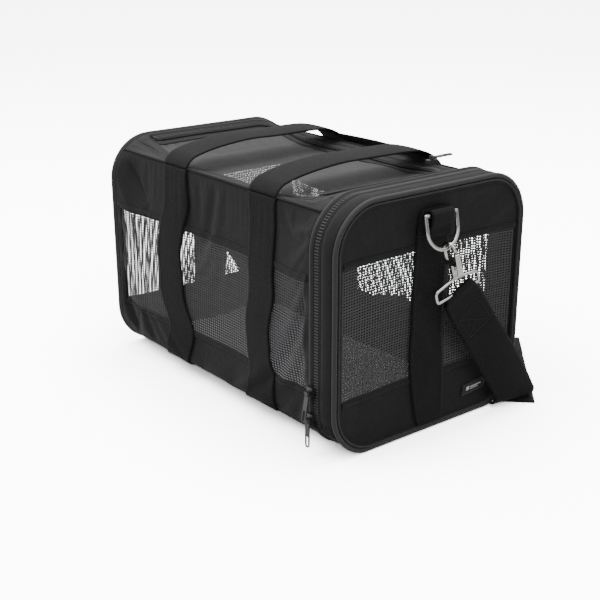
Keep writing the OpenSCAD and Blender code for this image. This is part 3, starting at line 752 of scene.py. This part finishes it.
def outline(grow, steps=8, z_from=None):
    """Points (y, z) round the bag's section, grown; closed, or from one side's height over the top."""
    r = CORNER_R + grow
    turns = ((FLAT_Y, TOP_Z - CORNER_R, 0), (-FLAT_Y, TOP_Z - CORNER_R, 90), (-FLAT_Y, CORNER_R, 180),
             (FLAT_Y, CORNER_R, 270))
    line = []
    for index, (cy, cz, start) in enumerate(turns):
        for k in range(steps + 1):
            a = math.radians(start + 90 * k / steps)
            line.append((cy + r * math.cos(a), cz + r * math.sin(a)))
        ahead = turns[(index + 1) % 4]
        a = math.radians(start + 90)
        b = (ahead[0] + r * math.cos(a), ahead[1] + r * math.sin(a))
        line += [(line[-1][0] + (b[0] - line[-1][0]) * k / 6, line[-1][1] + (b[1] - line[-1][1]) * k / 6)
                 for k in range(1, 6)]
    if z_from is None:
        return line
    line = [p for p in line if p[1] > z_from]
    first = max(range(len(line)), key=lambda i: abs(line[i][0] - line[i - 1][0])
                + abs(line[i][1] - line[i - 1][1]))
    line = line[first:] + line[:first]
    side = HALF_W + grow
    return [(math.copysign(side, line[0][0]), z_from)] + line + [(math.copysign(side, line[-1][0]), z_from)]


def bead(name, x, radius, grow, body, node):
    """Piping: the round cord of a folded strip, run round the bag's section. The strip's stitched flange,
    lying inward on the panel, is built with the flanges below.
    """
    bm = bmesh.new()
    line = [Vector((x, y, max(z, radius + 0.0002))) for y, z in outline(grow)]
    tube(bm, line, radius, 260, 12, closed=True)
    piece_from(bm, name, PIPING, body, (node,))


bead("door_bead", 0.1721, 0.0022, -0.0012, "door", "door_piping")
bead("rear_bead", -0.1721, 0.0022, -0.0012, "bag", "rear_piping")


def section_strip(bm, x0, x1, grow0, grow1, z_from=None, bulge=0.0, rows=4):
    """Adds a strip round the bag's section between two stations."""
    a = outline(grow0, 8, z_from)
    b = outline(grow1, 8, z_from)
    if z_from is None:
        a.append(a[0])
        b.append(b[0])
    la, fa = rail([Vector((x0, *p)) for p in a], steps=3)
    lb, fb = rail([Vector((x1, *p)) for p in b], steps=3)
    width = abs(x1 - x0)

    def form(u, v):
        t = v / width
        pa, along = fa(u)
        pb = fb(u / la * lb)[0]
        out = Vector((1, 0, 0)).cross(along).normalized() * -1
        place = pa.lerp(pb, t) + out * bulge * math.sin(math.pi * t)
        place.z = max(place.z, 0.0003)
        return place
    patch(bm, form, (0, la), (0, width), 300, rows)


# Flanges between the beads and the end panels
for name, x, body, slot, cloth, outward in (
    ("door_flange", 0.1724, "door", "door_fabric", DOOR_CLOTH_PAINTED_SHADE, 1),
    ("rear_flange", -0.1692, "bag", "body_fabric", POLY, -1),
):
    bm = bmesh.new()
    section_strip(bm, x, x + outward * 0.0008, -0.0035, -0.0075, rows=2)
    piece_from(bm, name, cloth, body, (), 0.0008, offset=0)
    bm = bmesh.new()
    line = [Vector((x + outward * 0.0012, y, z)) for y, z in outline(-0.0062)]
    stitches(bm, line, Vector((outward, 0, 0)), closed=True, steps=4)
    piece_from(bm, name + "_stitches", THREAD, body, merge=STITCH_MERGE)
    bm = bmesh.new()
    line = [Vector((x + outward * 0.0010, y, z)) for y, z in outline(-0.0048)]
    tube(bm, line, 0.0008, 240, 8, closed=True)
    piece_from(bm, name + "_lip", PIPING, body)

# Turned edge that joins the walls to the rear bead
bm = bmesh.new()
section_strip(bm, -0.1712, BODY_X0 + 0.0005, -0.0013, -0.0006, rows=3)
piece_from(bm, "rear_turned_edge", POLY, "bag", (), CLOTH_T, flip=True)

# ---------------------------------------------------------------- Door zip
# The front end opens on a long coil zip that runs up both sides and over the top, between a bound
# rim on the body and a narrow gusset on the door. Below the stops the two are one soft hinge.

RIM_X0, RIM_X1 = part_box("body_rim")[0][0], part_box("body_rim")[1][0]
TAPE_X0, TAPE_X1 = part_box("door_zip_body")[0][0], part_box("door_zip_body")[1][0]
LEAF_X0, LEAF_X1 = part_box("door_zip_door")[0][0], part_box("door_zip_door")[1][0]
GUSSET_X0, GUSSET_X1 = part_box("door_gusset")[0][0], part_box("door_gusset")[1][0] + 0.0018
STOP_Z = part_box("door_gusset")[0][2]
bm = bmesh.new()
line = [Vector(((RIM_X0 + RIM_X1) / 2, y, max(z, 0.0021))) for y, z in outline(-0.0002)]
tube(bm, line, 0.0018, 260, 10, closed=True)
piece_from(bm, "body_rim_bead", PIPING, "bag", ("body_rim",))

for name, x0, x1, body, slot, node, cloth, g0, g1, bulge in (
    ("door_zip_rear_tape", TAPE_X0, TAPE_X1, "bag", "zip_tape", "door_zip_body", TAPE, -0.0004, -0.0012, 0),
    ("door_zip_front_tape", LEAF_X0, LEAF_X1, "door", "zip_tape", "door_zip_door", TAPE, -0.0012, -0.0004, 0),
    ("door_gusset_cloth", GUSSET_X0, GUSSET_X1, "door", "door_fabric", "door_gusset", DOOR_CLOTH_PAINTED_SHADE, -0.0006,
     -0.0022, 0.0011),
):
    bm = bmesh.new()
    section_strip(bm, x0, x1, g0, g1, STOP_Z, bulge)
    piece_from(bm, name, cloth, body, (node,), 0.0008, flip=True)

for name, x, way, body in (("door_coil_rear", TAPE_X1, -1, "bag"), ("door_coil_front", LEAF_X0, 1, "door")):
    bm = bmesh.new()
    line = [Vector((x, y, z)) for y, z in outline(-0.0004, 8, STOP_Z)]
    length, at = rail(line, steps=4)
    coil(bm, at, length, lambda s: (Vector((1, 0, 0)).cross(at(s)[1]) * -1).normalized(),
         lambda s: Vector((way, 0, 0)), pitch=0.0026, reach=0.0022, size=0.00085)
    piece_from(bm, name, COIL, body, merge=STITCH_MERGE)

bm = bmesh.new()
under = [p for p in outline(-0.0008, 8) if p[1] < STOP_Z]
first = max(range(len(under)), key=lambda i: abs(under[i][0] - under[i - 1][0]))
under = under[first:] + under[:first]
length, at = rail([Vector((0, *p)) for p in under], steps=3)


def hinge_form(u, v):
    place = at(u)[0]
    return Vector((RIM_X1 + v, place.y, max(place.z + 0.0006 * math.sin(v * 500), 0.0012)))


patch(bm, hinge_form, (0, length), (0, GUSSET_X1 - RIM_X1), 120, 8)
piece_from(bm, "hinge_cloth", POLY, "bag", ("hinge_gusset",), CLOTH_T, offset=0)

# ---------------------------------------------------------------- Carrying straps
# Two webbing straps are sewn up each wall and leave it at the top seams as handle loops. The left
# handle lies over the top in low arches; the right one hangs down outside with its grip on the floor.

def band_drift(x, v):
    """How far a band strays sideways along the soft wall."""
    loose = smoothstep((SIDE_V - v) / 0.05)
    wave = noise.noise(Vector((x * 30, v * 26, 5.5))) * 0.013
    if x < 0:
        lean = 0.004 * smoothstep(-v / 0.07) - 0.010 * math.exp(-((v - 0.02) / 0.026) ** 2)
    else:
        lean = 0.005 * smoothstep(-v / 0.07)
    return (wave + lean) * loose


for side, sign in (("left", 1), ("right", -1)):
    for place, x in (("front", BANDS[0]), ("rear", BANDS[1])):
        def band_form(u, v, x=x, sign=sign):
            return wall_at(x + u + band_drift(x, v), v, 0.0021, sign)
        bm = bmesh.new()
        patch(bm, band_form, ACROSS, (-SIDE_V + 0.001, SIDE_V - 0.001), 18, 120)
        piece_from(bm, f"band_{side}_{place}", WEB, "bag", (f"band_{side}_{place}",), 0.0015,
                   flip=sign < 0)
        bm = bmesh.new()
        for edge in (-BAND_W / 2 + 0.003, BAND_W / 2 - 0.003):
            line = []
            for k in range(81):
                v = -SIDE_V + 0.004 + (2 * SIDE_V - 0.008) * k / 80
                line.append(wall_at(x + edge + band_drift(x, v), v, 0.0023, sign))
            stitches(bm, line, Vector((0, -sign, 0)), steps=2)
        piece_from(bm, f"band_{side}_{place}_stitches", THREAD, "bag", merge=STITCH_MERGE)

arch = [(-0.0975, 0.2068), (-0.0935, 0.2122), (-0.084, 0.2172), (-0.060, 0.2215), (-0.020, 0.2235),
        (0.020, 0.2232), (0.050, 0.2228)]
arch += [(FLAT_Y + 0.0462 * math.cos(math.radians(a)), TOP_Z - CORNER_R + 0.0462 * math.sin(math.radians(a)))
         for a in (84, 72, 60, 48, 36, 24, 12, 4)]
arch_length, arch_at = rail([(0, *p) for p in arch])


def over_top(x, v, u, lean=-0.008):
    """A place on the left handle: u across the strap, v along it from the left seam."""
    p, along = arch_at(v)
    t = v / arch_length
    out = Vector((1, 0, 0)).cross(along).normalized() * -1
    if out.z < 0 and p.z > 0.215:
        out = -out
    cup = 0.0012 * math.sin(math.pi * t) * (1 - (2 * u / BAND_W) ** 2)
    wave = noise.noise(Vector((x * 3, v * 18, 2.0))) * 0.0012 * smoothstep(t / 0.1)
    return Vector((x + u + lean * math.sin(math.pi * t / 1.4), p.y, p.z)) + Vector((0, 0, 1)) * (cup + wave)


bm = bmesh.new()
for x in BANDS:
    patch(bm, lambda u, v, x=x: over_top(x, v, u), ACROSS, (0, arch_length), 16, 110)
grip = BANDS[0] - BANDS[1]


def grip_form(u, v):
    p = over_top(BANDS[1] + u, arch_length - BAND_W + v, 0.0)
    return p + Vector((0, 0.0017, 0.0004)) + Vector((0, 1, 0.5)) * 0.002 * math.sin(math.pi * u / grip)


patch(bm, grip_form, (0, grip), (0.0005, BAND_W - 0.0005), 60, 14)
piece_from(bm, "handle_left_strap", WEB, "carry_handle_left", ("handle_left",), 0.0014, flip=True)
bm = bmesh.new()
for x in BANDS:
    for edge in (-BAND_W / 2 + 0.003, BAND_W / 2 - 0.003):
        line = [over_top(x, arch_length * (0.02 + 0.96 * k / 60), edge) + Vector((0, 0.0003, 0.0003))
                for k in range(61)]
        stitches(bm, line, Vector((0, 0.3, 0.95)), steps=2)
piece_from(bm, "handle_left_stitches", THREAD, "carry_handle_left", merge=STITCH_MERGE)

right_lo, right_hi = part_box("handle_right")
fall = [(right_lo[1] + 0.0008, 0.174), (right_lo[1] + 0.0012, 0.120), (right_lo[1] + 0.0018, 0.060),
        (right_lo[1] + 0.003, 0.020), (right_lo[1] + 0.008, 0.006), (right_lo[1] + 0.018, 0.0022),
        (right_hi[1] - 0.02, 0.0016), (right_hi[1], 0.0016)]
fall_length, fall_at = rail([(0, *p) for p in fall])
bm = bmesh.new()
for x in BANDS:
    patch(bm, lambda u, v, x=x: fall_at(v)[0] + Vector((x + u, 0, 0)), ACROSS,
          (0, fall_length), 8, 90)
patch(bm, lambda u, v: fall_at(fall_length - BAND_W + v)[0] + Vector((BANDS[1] + u, 0, 0.0016)),
      (0, grip), (0.0005, BAND_W - 0.0005), 50, 10)
piece_from(bm, "handle_right_strap", WEB, "carry_handle_right", ("handle_right",), 0.0014,
           offset=-1)

# ---------------------------------------------------------------- Base and pad
# A cloth-covered stiff board lies in the bottom with a fleece-topped pad over it. The pad is stuffed, so its
# top crowns, and a little noise roughens it. Its piped edges and the dips where it is tacked are not built.

FLEECE = fabric("fleece", (0.60, 0.60, 0.605), (0.86, 0.86, 0.87), 420, 420, 0.0008, 0.9, 0.3, 0.003)
BOARD = fabric("board cover", (0.014, 0.014, 0.015), (0.032, 0.032, 0.033), 900, 900, 0.0002, 0.8, 0.2)


def slab(bm, lo, hi, less, round_by):
    """Adds a round-edged slab in a box, made smaller by an amount along each axis."""
    bmesh.ops.create_cube(bm, size=1)
    for vert in bm.verts:
        vert.co = Vector([(lo[i] + hi[i]) / 2 + vert.co[i] * (hi[i] - lo[i] - less[i]) for i in range(3)])
    bmesh.ops.bevel(bm, geom=bm.edges[:], offset=round_by, segments=3, profile=0.5, affect="EDGES",
                    material=-1)


lo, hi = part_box("base_board")
bm = bmesh.new()
slab(bm, lo, hi, (0, 0, 0), 0.0012)
layer = bm.loops.layers.uv.new("weave")
for face in bm.faces:
    for loop in face.loops:
        loop[layer].uv = (loop.vert.co.x, loop.vert.co.y)
piece_from(bm, "board_cover", BOARD, "bag", ("base_board",))

lo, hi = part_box("fleece_pad")
bm = bmesh.new()
slab(bm, lo, hi, (0.008, 0.006, 0.004), 0.003)
pad = piece_from(bm, "fleece_pad_cover", FLEECE, "bag", ("fleece_pad",))
remesh = pad.modifiers.new("remesh", "REMESH")
remesh.mode = "VOXEL"
remesh.voxel_size = 0.005
graph = bpy.context.evaluated_depsgraph_get()
pad.data = bpy.data.meshes.new_from_object(pad.evaluated_get(graph))
pad.modifiers.clear()
before = np.array([vert.co for vert in pad.data.vertices])
stuff = pad.modifiers.new("stuff", "CLOTH")
stuff.settings.use_pressure = True
stuff.settings.uniform_pressure_force = 4
stuff.settings.effector_weights.gravity = 0
stuff.settings.quality = 4
for step in range(1, 21):
    bpy.context.scene.frame_set(step)
graph = bpy.context.evaluated_depsgraph_get()
after = np.array([vert.co for vert in pad.evaluated_get(graph).to_mesh().vertices])
bpy.context.scene.frame_set(1)
pad.modifiers.clear()
for vert, place in zip(pad.data.vertices, held_back(before, after, 0.005)):
    vert.co = place
for vert in pad.data.vertices:
    p = vert.co
    if p.z > (lo[2] + hi[2]) / 2:
        p.z += 0.0016 * noise.noise(Vector((p.x * 22, p.y * 22, 1.5)))
    p.z = max(p.z, lo[2] + 0.0001)
    p.x = min(max(p.x, lo[0]), hi[0])
    p.y = min(max(p.y, lo[1]), hi[1])
for poly in pad.data.polygons:
    poly.use_smooth = True
layer = pad.data.uv_layers.get("weave") or pad.data.uv_layers.new(name="weave")
for loop, data in zip(pad.data.loops, layer.data):
    data.uv = pad.data.vertices[loop.vertex_index].co.xy

# ---------------------------------------------------------------- Strap hardware
# Each end carries a D-ring in a folded webbing tab. A plated snap hook hangs in the ring, with a
# swivelling wire loop below it that holds the shoulder strap's sewn end.

OUT_FRONT = Matrix.Translation((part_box("door_webbing")[1][0], 0, 0))
OUT_REAR = Matrix.Translation((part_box("rear_webbing")[0][0], 0, 0)) @ Matrix.Scale(-1, 4, (1, 0, 0))
SNAP = (Matrix.Translation((0.00906, 0.00541, 0.16839)) @ Matrix.Rotation(math.radians(18), 4, "X")
        @ Matrix.Rotation(math.radians(-8), 4, "Z"))
HANG = SNAP @ Matrix.Translation((0, 0, -0.0447)) @ Matrix.Rotation(math.radians(17), 4, "X")
BAR_X = 0.0035                    # ring bar's centre, out from the webbing
TAB_W = 0.025


def box_x(bm, form, half, low, high, normal):
    """Sews a square with a cross in it: form(across, along) is the place on the webbing."""
    corners = [(-half, low), (half, low), (half, high), (-half, high)]
    legs = list(zip(corners, corners[1:] + corners[:1]))
    legs += [(corners[0], corners[2]), (corners[3], corners[1])]
    for a, b in legs:
        line = [form(a[0] + (b[0] - a[0]) * k / 8, a[1] + (b[1] - a[1]) * k / 8) for k in range(9)]
        stitches(bm, line, normal, steps=2, start=0.0003)


ring_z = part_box("door_ring_tab")[1][2] - 0.0035
tab = [(0.0003, 0.1775), (0.0003, 0.190), (0.0006, ring_z + 0.001), (BAR_X - 0.0012, ring_z + 0.0027),
       (BAR_X + 0.0012, ring_z + 0.0027), (BAR_X + 0.0029, ring_z), (BAR_X + 0.0022, ring_z - 0.006),
       (0.0034, 0.186), (0.0026, 0.1775)]
tab_length, tab_at = rail([(x, 0, z) for x, z in tab])
for side, body, place, node in (("door", "door", OUT_FRONT, "door_ring_tab"),
                                ("rear", "bag", OUT_REAR, "rear_ring_tab")):
    bm = bmesh.new()
    patch(bm, lambda u, v: place @ (tab_at(v)[0] + Vector((0, u, 0))), (-TAB_W / 2, TAB_W / 2),
          (0, tab_length), 12, 70)
    piece_from(bm, side + "_tab", WEB, body, (node,), 0.0013, flip=side == "rear")
    bm = bmesh.new()
    box_x(bm, lambda y, z: place @ Vector((0.0036, y, z)), 0.0100, 0.1795, 0.1865,
          Vector((1 if side == "door" else -1, 0, 0)))
    piece_from(bm, side + "_tab_stitches", THREAD, body, merge=STITCH_MERGE)


def metal(name, dark, light, rough, scratch=0.25, smudge=0.12):
    """Plated metal: bright, with fine scratches one way and dull handling smudges."""
    material = bpy.data.materials.new(name)
    material.use_nodes = True
    tree = material.node_tree
    shader = tree.nodes["Principled BSDF"]
    shader.inputs["Metallic"].default_value = 1
    worn = tree.nodes.new("ShaderNodeGroup")
    worn.node_tree = wear
    worn.inputs["Scale"].default_value = 90
    spot = tree.nodes.new("ShaderNodeTexCoord")
    stretch = tree.nodes.new("ShaderNodeMapping")
    stretch.inputs["Scale"].default_value = (400, 2600, 300)
    tree.links.new(spot.outputs["Object"], stretch.inputs[0])
    lines = noise_of(tree, stretch.outputs[0], 1)
    two_tone(tree, shader, worn.outputs["Tone"], dark, light)
    dull = calc(tree, "ADD", calc(tree, "MULTIPLY", worn.outputs["Tone"], smudge), rough)
    tree.links.new(dull, shader.inputs["Roughness"])
    tree.links.new(bump_of(tree, lines, 0.00004, scratch), shader.inputs["Normal"])
    return material


NICKEL = metal("nickel plate", (0.36, 0.355, 0.345), (0.88, 0.87, 0.85), 0.12)
GUNMETAL = metal("gunmetal", (0.07, 0.07, 0.072), (0.20, 0.20, 0.205), 0.28)
GLIDE = fabric("moulded plastic", (0.010, 0.010, 0.010), (0.022, 0.022, 0.022), 300, 300, 0.00003, 0.45, 0.0)


def coat(material, slot, *nodes):
    for node in nodes:
        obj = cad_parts[node]
        obj.data.materials.clear()
        obj.data.materials.append(material)
        for poly in obj.data.polygons:
            poly.use_smooth = True


coat(NICKEL, "nickel", "ring_front", "snap_front", "gate_front", "ring_rear", "snap_rear", "gate_rear")
coat(GUNMETAL, "gunmetal", "slider_upper", "pull_upper", "slider_lower", "pull_lower", "slider_top",
     "pull_top")
coat(GLIDE, "glide_plastic", "strap_adjuster")

# Swivelling wire loop: its top bar rises to the swivel, its corners are bent round
LOOP_Z0, LOOP_Z1, LOOP_Y = -0.0447, -0.0307, 0.0225
wire = [(0, LOOP_Z1), (0.010, LOOP_Z1 - 0.0012), (LOOP_Y - 0.003, LOOP_Z1 - 0.0032),
        (LOOP_Y - 0.0006, LOOP_Z1 - 0.0048), (LOOP_Y, LOOP_Z1 - 0.0075), (LOOP_Y, LOOP_Z0 + 0.002),
        (LOOP_Y - 0.0008, LOOP_Z0 + 0.0004), (LOOP_Y - 0.0028, LOOP_Z0), (0.008, LOOP_Z0)]
wire += [(-y, z) for y, z in reversed(wire[1:])]
for end, place in (("front", OUT_FRONT), ("rear", OUT_REAR)):
    bm = bmesh.new()
    tube(bm, [place @ SNAP @ Vector((0, y, z)) for y, z in wire], 0.0015, 140, 14,
         (place @ SNAP).to_3x3() @ Vector((1, 0, 0)), closed=True, steps=8)
    for radius, top_z, bottom_z in ((0.0032, -0.0268, -0.0300), (0.0015, -0.0200, -0.0268),
                                    (0.0022, -0.0298, -0.0316)):
        made = bmesh.ops.create_cone(bm, cap_ends=True, segments=32, radius1=radius, radius2=radius,
                                     depth=top_z - bottom_z)
        rim = [edge for vert in made["verts"] for edge in vert.link_edges
               if abs(edge.verts[0].co.z - edge.verts[1].co.z) < 1e-6]
        bmesh.ops.translate(bm, verts=made["verts"], vec=(0, 0, (top_z + bottom_z) / 2))
        bmesh.ops.transform(bm, matrix=place @ SNAP, verts=made["verts"])
        bmesh.ops.bevel(bm, geom=list(set(rim)), offset=0.0004, segments=2, profile=0.5, affect="EDGES",
                        material=-1)
    for face in bm.faces:
        face.smooth = True
    piece_from(bm, f"wire_loop_{end}", NICKEL, f"strap_loop_{end}", (f"loop_{end}",), merge=1e-6,
               flip=end == "rear")

    # Thumb lever over the hook's mouth
    bm = bmesh.new()
    bmesh.ops.create_cube(bm, size=1)
    for vert in bm.verts:
        taper = 0.75 if vert.co.z > 0 else 1.0
        kick = 0.0006 if vert.co.z > 0 else 0
        vert.co = Vector((0.0087 + vert.co.x * 0.0016 + kick, vert.co.y * 0.0062 * taper,
                          -0.0145 + vert.co.z * 0.0205))
    bmesh.ops.bevel(bm, geom=bm.edges[:], offset=0.0006, segments=3, profile=0.5, affect="EDGES", material=-1)
    bmesh.ops.transform(bm, matrix=place @ SNAP, verts=bm.verts)
    for face in bm.faces:
        face.smooth = True
    piece_from(bm, f"snap_lever_{end}", NICKEL, f"snap_hook_{end}", (), flip=end == "rear")

# ---------------------------------------------------------------- Shoulder strap
# One long webbing of the bands' width: its ends are folded round the wire loops and box-sewn, and
# the rest drops to the ground at each end and lies along it beside the bag, folded at the turns.

END_L = 0.050
DROP_L = 0.110
FOLD_R = 0.0027                   # the sewn end's turn round the wire
GROUND_Z = 0.0010                 # middle of the webbing that lies on the ground


def tail_form(u, v):
    """The sewn end, from its raw edge up the back, over the bar and down the front."""
    flat = END_L - FOLD_R
    if v < flat:
        spot = Vector((-0.0009 - 0.0018 * (v / flat) ** 6, u, -END_L + v))
    elif v < flat + math.pi * FOLD_R:
        a = (v - flat) / FOLD_R
        spot = Vector((-FOLD_R * math.cos(a), u * 0.86, -FOLD_R + FOLD_R * (math.sin(a) + 1) * 1.0))
    else:
        w = (v - flat - math.pi * FOLD_R) / flat
        spot = Vector((0.0009 + 0.0018 * (1 - w) ** 6, u, -v + flat + math.pi * FOLD_R))
    squeeze = 0.90 + 0.10 * smoothstep(-spot.z / 0.02)
    spot.y *= squeeze
    return spot


tail_v = 2 * (END_L - FOLD_R) + math.pi * FOLD_R
FOOT_Z, CURL_R = 0.0125, 0.0105
for end, place in (("front", OUT_FRONT), ("rear", OUT_REAR)):
    turned = end == "rear"
    bm = bmesh.new()
    patch(bm, lambda u, v: place @ HANG @ tail_form(u, v), ACROSS,
          (0.001, tail_v - 0.001), 16, 90)
    piece_from(bm, f"strap_tail_{end}", WEB, f"strap_tail_{end}", (f"strap_end_{end}",), 0.0013,
               offset=0, flip=turned)
    bm = bmesh.new()
    box_x(bm, lambda y, z: place @ HANG @ Vector((0.0018, y, z)), 0.013, -0.046, -0.022,
          Vector((-1 if turned else 1, 0, 0)))
    piece_from(bm, f"strap_tail_{end}_stitches", THREAD, f"strap_tail_{end}", merge=STITCH_MERGE)

    down = (HANG.to_3x3() @ Vector((0, 0, -1))).normalized()

    def drop_form(u, v, place=place):
        start = HANG @ Vector((0.0002, u, -END_L + 0.0030))
        reach = (start.z - FOOT_Z) / -down.z
        t = v / DROP_L
        spot = start + down * reach * t
        spot.x += 0.0030 * math.sin(math.pi * t) * math.sin(u * 70 + 0.8) - 0.003 * t * t
        return place @ spot
    bm = bmesh.new()
    patch(bm, drop_form, ACROSS, (0, DROP_L), 14, 60)

    def curl_form(u, v, place=place):
        start = HANG @ Vector((0.0002, u, -END_L + 0.0030))
        low = start + down * ((start.z - FOOT_Z) / -down.z) - Vector((0.003, 0, 0))
        a = v / CURL_R
        back = Vector((-1, 0.35, 0)).normalized()
        return place @ (low + back * CURL_R * (1 - math.cos(a)) - Vector((0, 0, CURL_R * math.sin(a))) * 0.98)
    patch(bm, curl_form, ACROSS, (0, CURL_R * math.pi * 0.5), 14, 10)
    drop = piece_from(bm, f"strap_drop_{end}_webbing", WEB, "" if end == "front" else "bag",
                      (f"strap_drop_{end}",), 0.0014, offset=0, flip=turned)
    if end == "front":
        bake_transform(drop)

run_lo, run_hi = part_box("strap_run")
middle_y = (run_lo[1] + run_hi[1]) / 2
rear_x, front_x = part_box("strap_turn_rear")[0][0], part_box("strap_turn_front")[1][0]


def ground_line(end_x, sign):
    """From under the drop to the fold that lies over the run's end."""
    a = Vector((end_x - sign * 0.036, 0.108, GROUND_Z))
    b = Vector((run_hi[0] - 0.002 if sign > 0 else run_lo[0] + 0.002, middle_y - 0.008, GROUND_Z))
    along = (b - a).normalized()
    return a - along * 0.010, b + along * 0.019


for end, sign in (("front", 1), ("rear", -1)):
    a, b = ground_line(front_x if sign > 0 else rear_x, sign)
    bm = bmesh.new()
    span = (b - a).length
    side = Vector((0, 0, 1)).cross((b - a).normalized())
    patch(bm, lambda u, v: a.lerp(b, v / span) + side * u
          + Vector((0, 0, 0.0004 * math.sin(v * 70) ** 2 + 0.0019 * smoothstep((v - span + 0.044) / 0.012))),
          ACROSS, (0, span), 8, 60)
    piece_from(bm, f"strap_turn_{end}_webbing", WEB, "bag", (f"strap_turn_{end}",), 0.0012,
               offset=0)
bm = bmesh.new()
patch(bm, lambda u, v: Vector((u, middle_y - 0.008 + v, GROUND_Z + 0.0003 * math.sin(u * 50))),
      (run_lo[0], run_hi[0]), ACROSS, 60, 8)
piece_from(bm, "strap_run_webbing", WEB, "bag", ("strap_run",), 0.0012, offset=0)

# ---------------------------------------------------------------- Label
# A small woven satin label sewn flat near the door's lower corner. It carries a plain pattern of
# bars in pale thread and no lettering.

lo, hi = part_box("door_label")
LABEL = fabric("label satin", (0.004, 0.004, 0.004), (0.012, 0.012, 0.012), 2400, 2400, 0.0001, 0.45, 0.2)
LABEL_THREAD = fabric("label thread", (0.30, 0.30, 0.30), (0.60, 0.60, 0.60), 2400, 2400, 0.0001, 0.5, 0.2)
tilt = math.radians(4)


def label_form(lift):
    def form(u, v):
        y = (lo[1] + hi[1]) / 2 + u * math.cos(tilt) - v * math.sin(tilt)
        z = (lo[2] + hi[2]) / 2 + u * math.sin(tilt) + v * math.cos(tilt)
        return end_skin(DOOR_X, 1, 0.007, lift)(y, z)
    return form


bm = bmesh.new()
patch(bm, label_form(0.0012), (-0.0150, 0.0150), (-0.0050, 0.0050), 20, 8)
piece_from(bm, "label", LABEL, "door", ("door_label",), 0.0005)
bm = bmesh.new()
for u0, u1, v0, v1 in ((-0.0095, -0.0055, -0.0016, 0.0018), (-0.0040, 0.0095, 0.0000, 0.0012),
                       (-0.0040, 0.0060, -0.0016, -0.0008)):
    patch(bm, label_form(0.00135), (u0, u1), (v0, v1), 6, 2)
piece_from(bm, "label_bars", LABEL_THREAD, "door", merge=STITCH_MERGE)

# ---------------------------------------------------------------- Stage
# A pale floor in a bright room: three broad round lights from the left, the front and above, and a
# soft glow that grows towards the zenith. The floor and the room look brighter than they shine.

bm = bmesh.new()
bmesh.ops.create_grid(bm, x_segments=2, y_segments=2, size=6)
floor = placed("floor", mesh_of(bm, "floor"))
floor.location.z = -0.0002
paper = bpy.data.materials.new("paper")
paper.use_nodes = True
plain = paper.node_tree.nodes["Principled BSDF"]
plain.inputs["Base Color"].default_value = (0.45, 0.45, 0.45, 1)
plain.inputs["Roughness"].default_value = 0.9
seen = paper.node_tree.nodes.new("ShaderNodeBsdfDiffuse")
seen.inputs["Color"].default_value = (5.5, 5.5, 5.5, 1)
path = paper.node_tree.nodes.new("ShaderNodeLightPath")
either = paper.node_tree.nodes.new("ShaderNodeMixShader")
for given, taken in ((path.outputs["Is Camera Ray"], either.inputs[0]), (plain.outputs[0], either.inputs[1]),
                     (seen.outputs[0], either.inputs[2]),
                     (either.outputs[0], paper.node_tree.nodes["Material Output"].inputs[0])):
    paper.node_tree.links.new(given, taken)
floor.data.materials.append(paper)
floor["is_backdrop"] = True

world = bpy.data.worlds.new("studio")
world.use_nodes = True
room = world.node_tree
room.nodes["Background"].inputs[0].default_value = (1, 1, 1, 1)
path = room.nodes.new("ShaderNodeLightPath").outputs["Is Camera Ray"]
sky = room.nodes.new("ShaderNodeTexCoord")
split = room.nodes.new("ShaderNodeSeparateXYZ")
room.links.new(sky.outputs["Generated"], split.inputs[0])
rise = calc(room, "POWER", calc(room, "MAXIMUM", split.outputs[2], 0.0), 0.8)
side = calc(room, "MAXIMUM", calc(room, "MULTIPLY", split.outputs[0], -0.5), 0.0)
soft = calc(room, "ADD", calc(room, "MULTIPLY", rise, 1.35), calc(room, "ADD", side, 0.12))
lit = calc(room, "MULTIPLY", calc(room, "SUBTRACT", 1.0, path), soft)
seen = calc(room, "MULTIPLY", path, 7.5)
room.links.new(calc(room, "ADD", lit, seen), room.nodes["Background"].inputs[1])
bpy.context.scene.world = world

for name, place, size, power in (
    ("key", (-0.4, -1.4, 2.2), 1.6, 34),
    ("fill", (2.2, -0.4, 1.4), 1.8, 13),
    ("top", (0.1, 0.4, 2.4), 1.5, 34),
):
    light = bpy.data.lights.new(name, "AREA")
    light.shape = "DISK"
    light.size = size
    light.energy = power
    lamp = placed(name, light)
    lamp.location = place
    lamp.rotation_euler = (Vector((0, 0, 0.1)) - Vector(place)).to_track_quat("-Z", "Y").to_euler()

camera_data = bpy.data.cameras.new("camera")
camera_data.lens = 66.49
camera_data.sensor_width = 36
camera_data.shift_x = -0.008
camera_data.shift_y = 0.004
camera = placed("camera", camera_data)
camera.location = (0.7954, -0.6368, 0.4336)
turn, rise = math.radians(51.33), math.radians(19.65)
look = -Vector((math.sin(turn) * math.cos(rise), -math.cos(turn) * math.cos(rise), math.sin(rise)))
camera.rotation_euler = look.to_track_quat("-Z", "Y").to_euler()
bpy.context.scene.camera = camera

low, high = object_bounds()
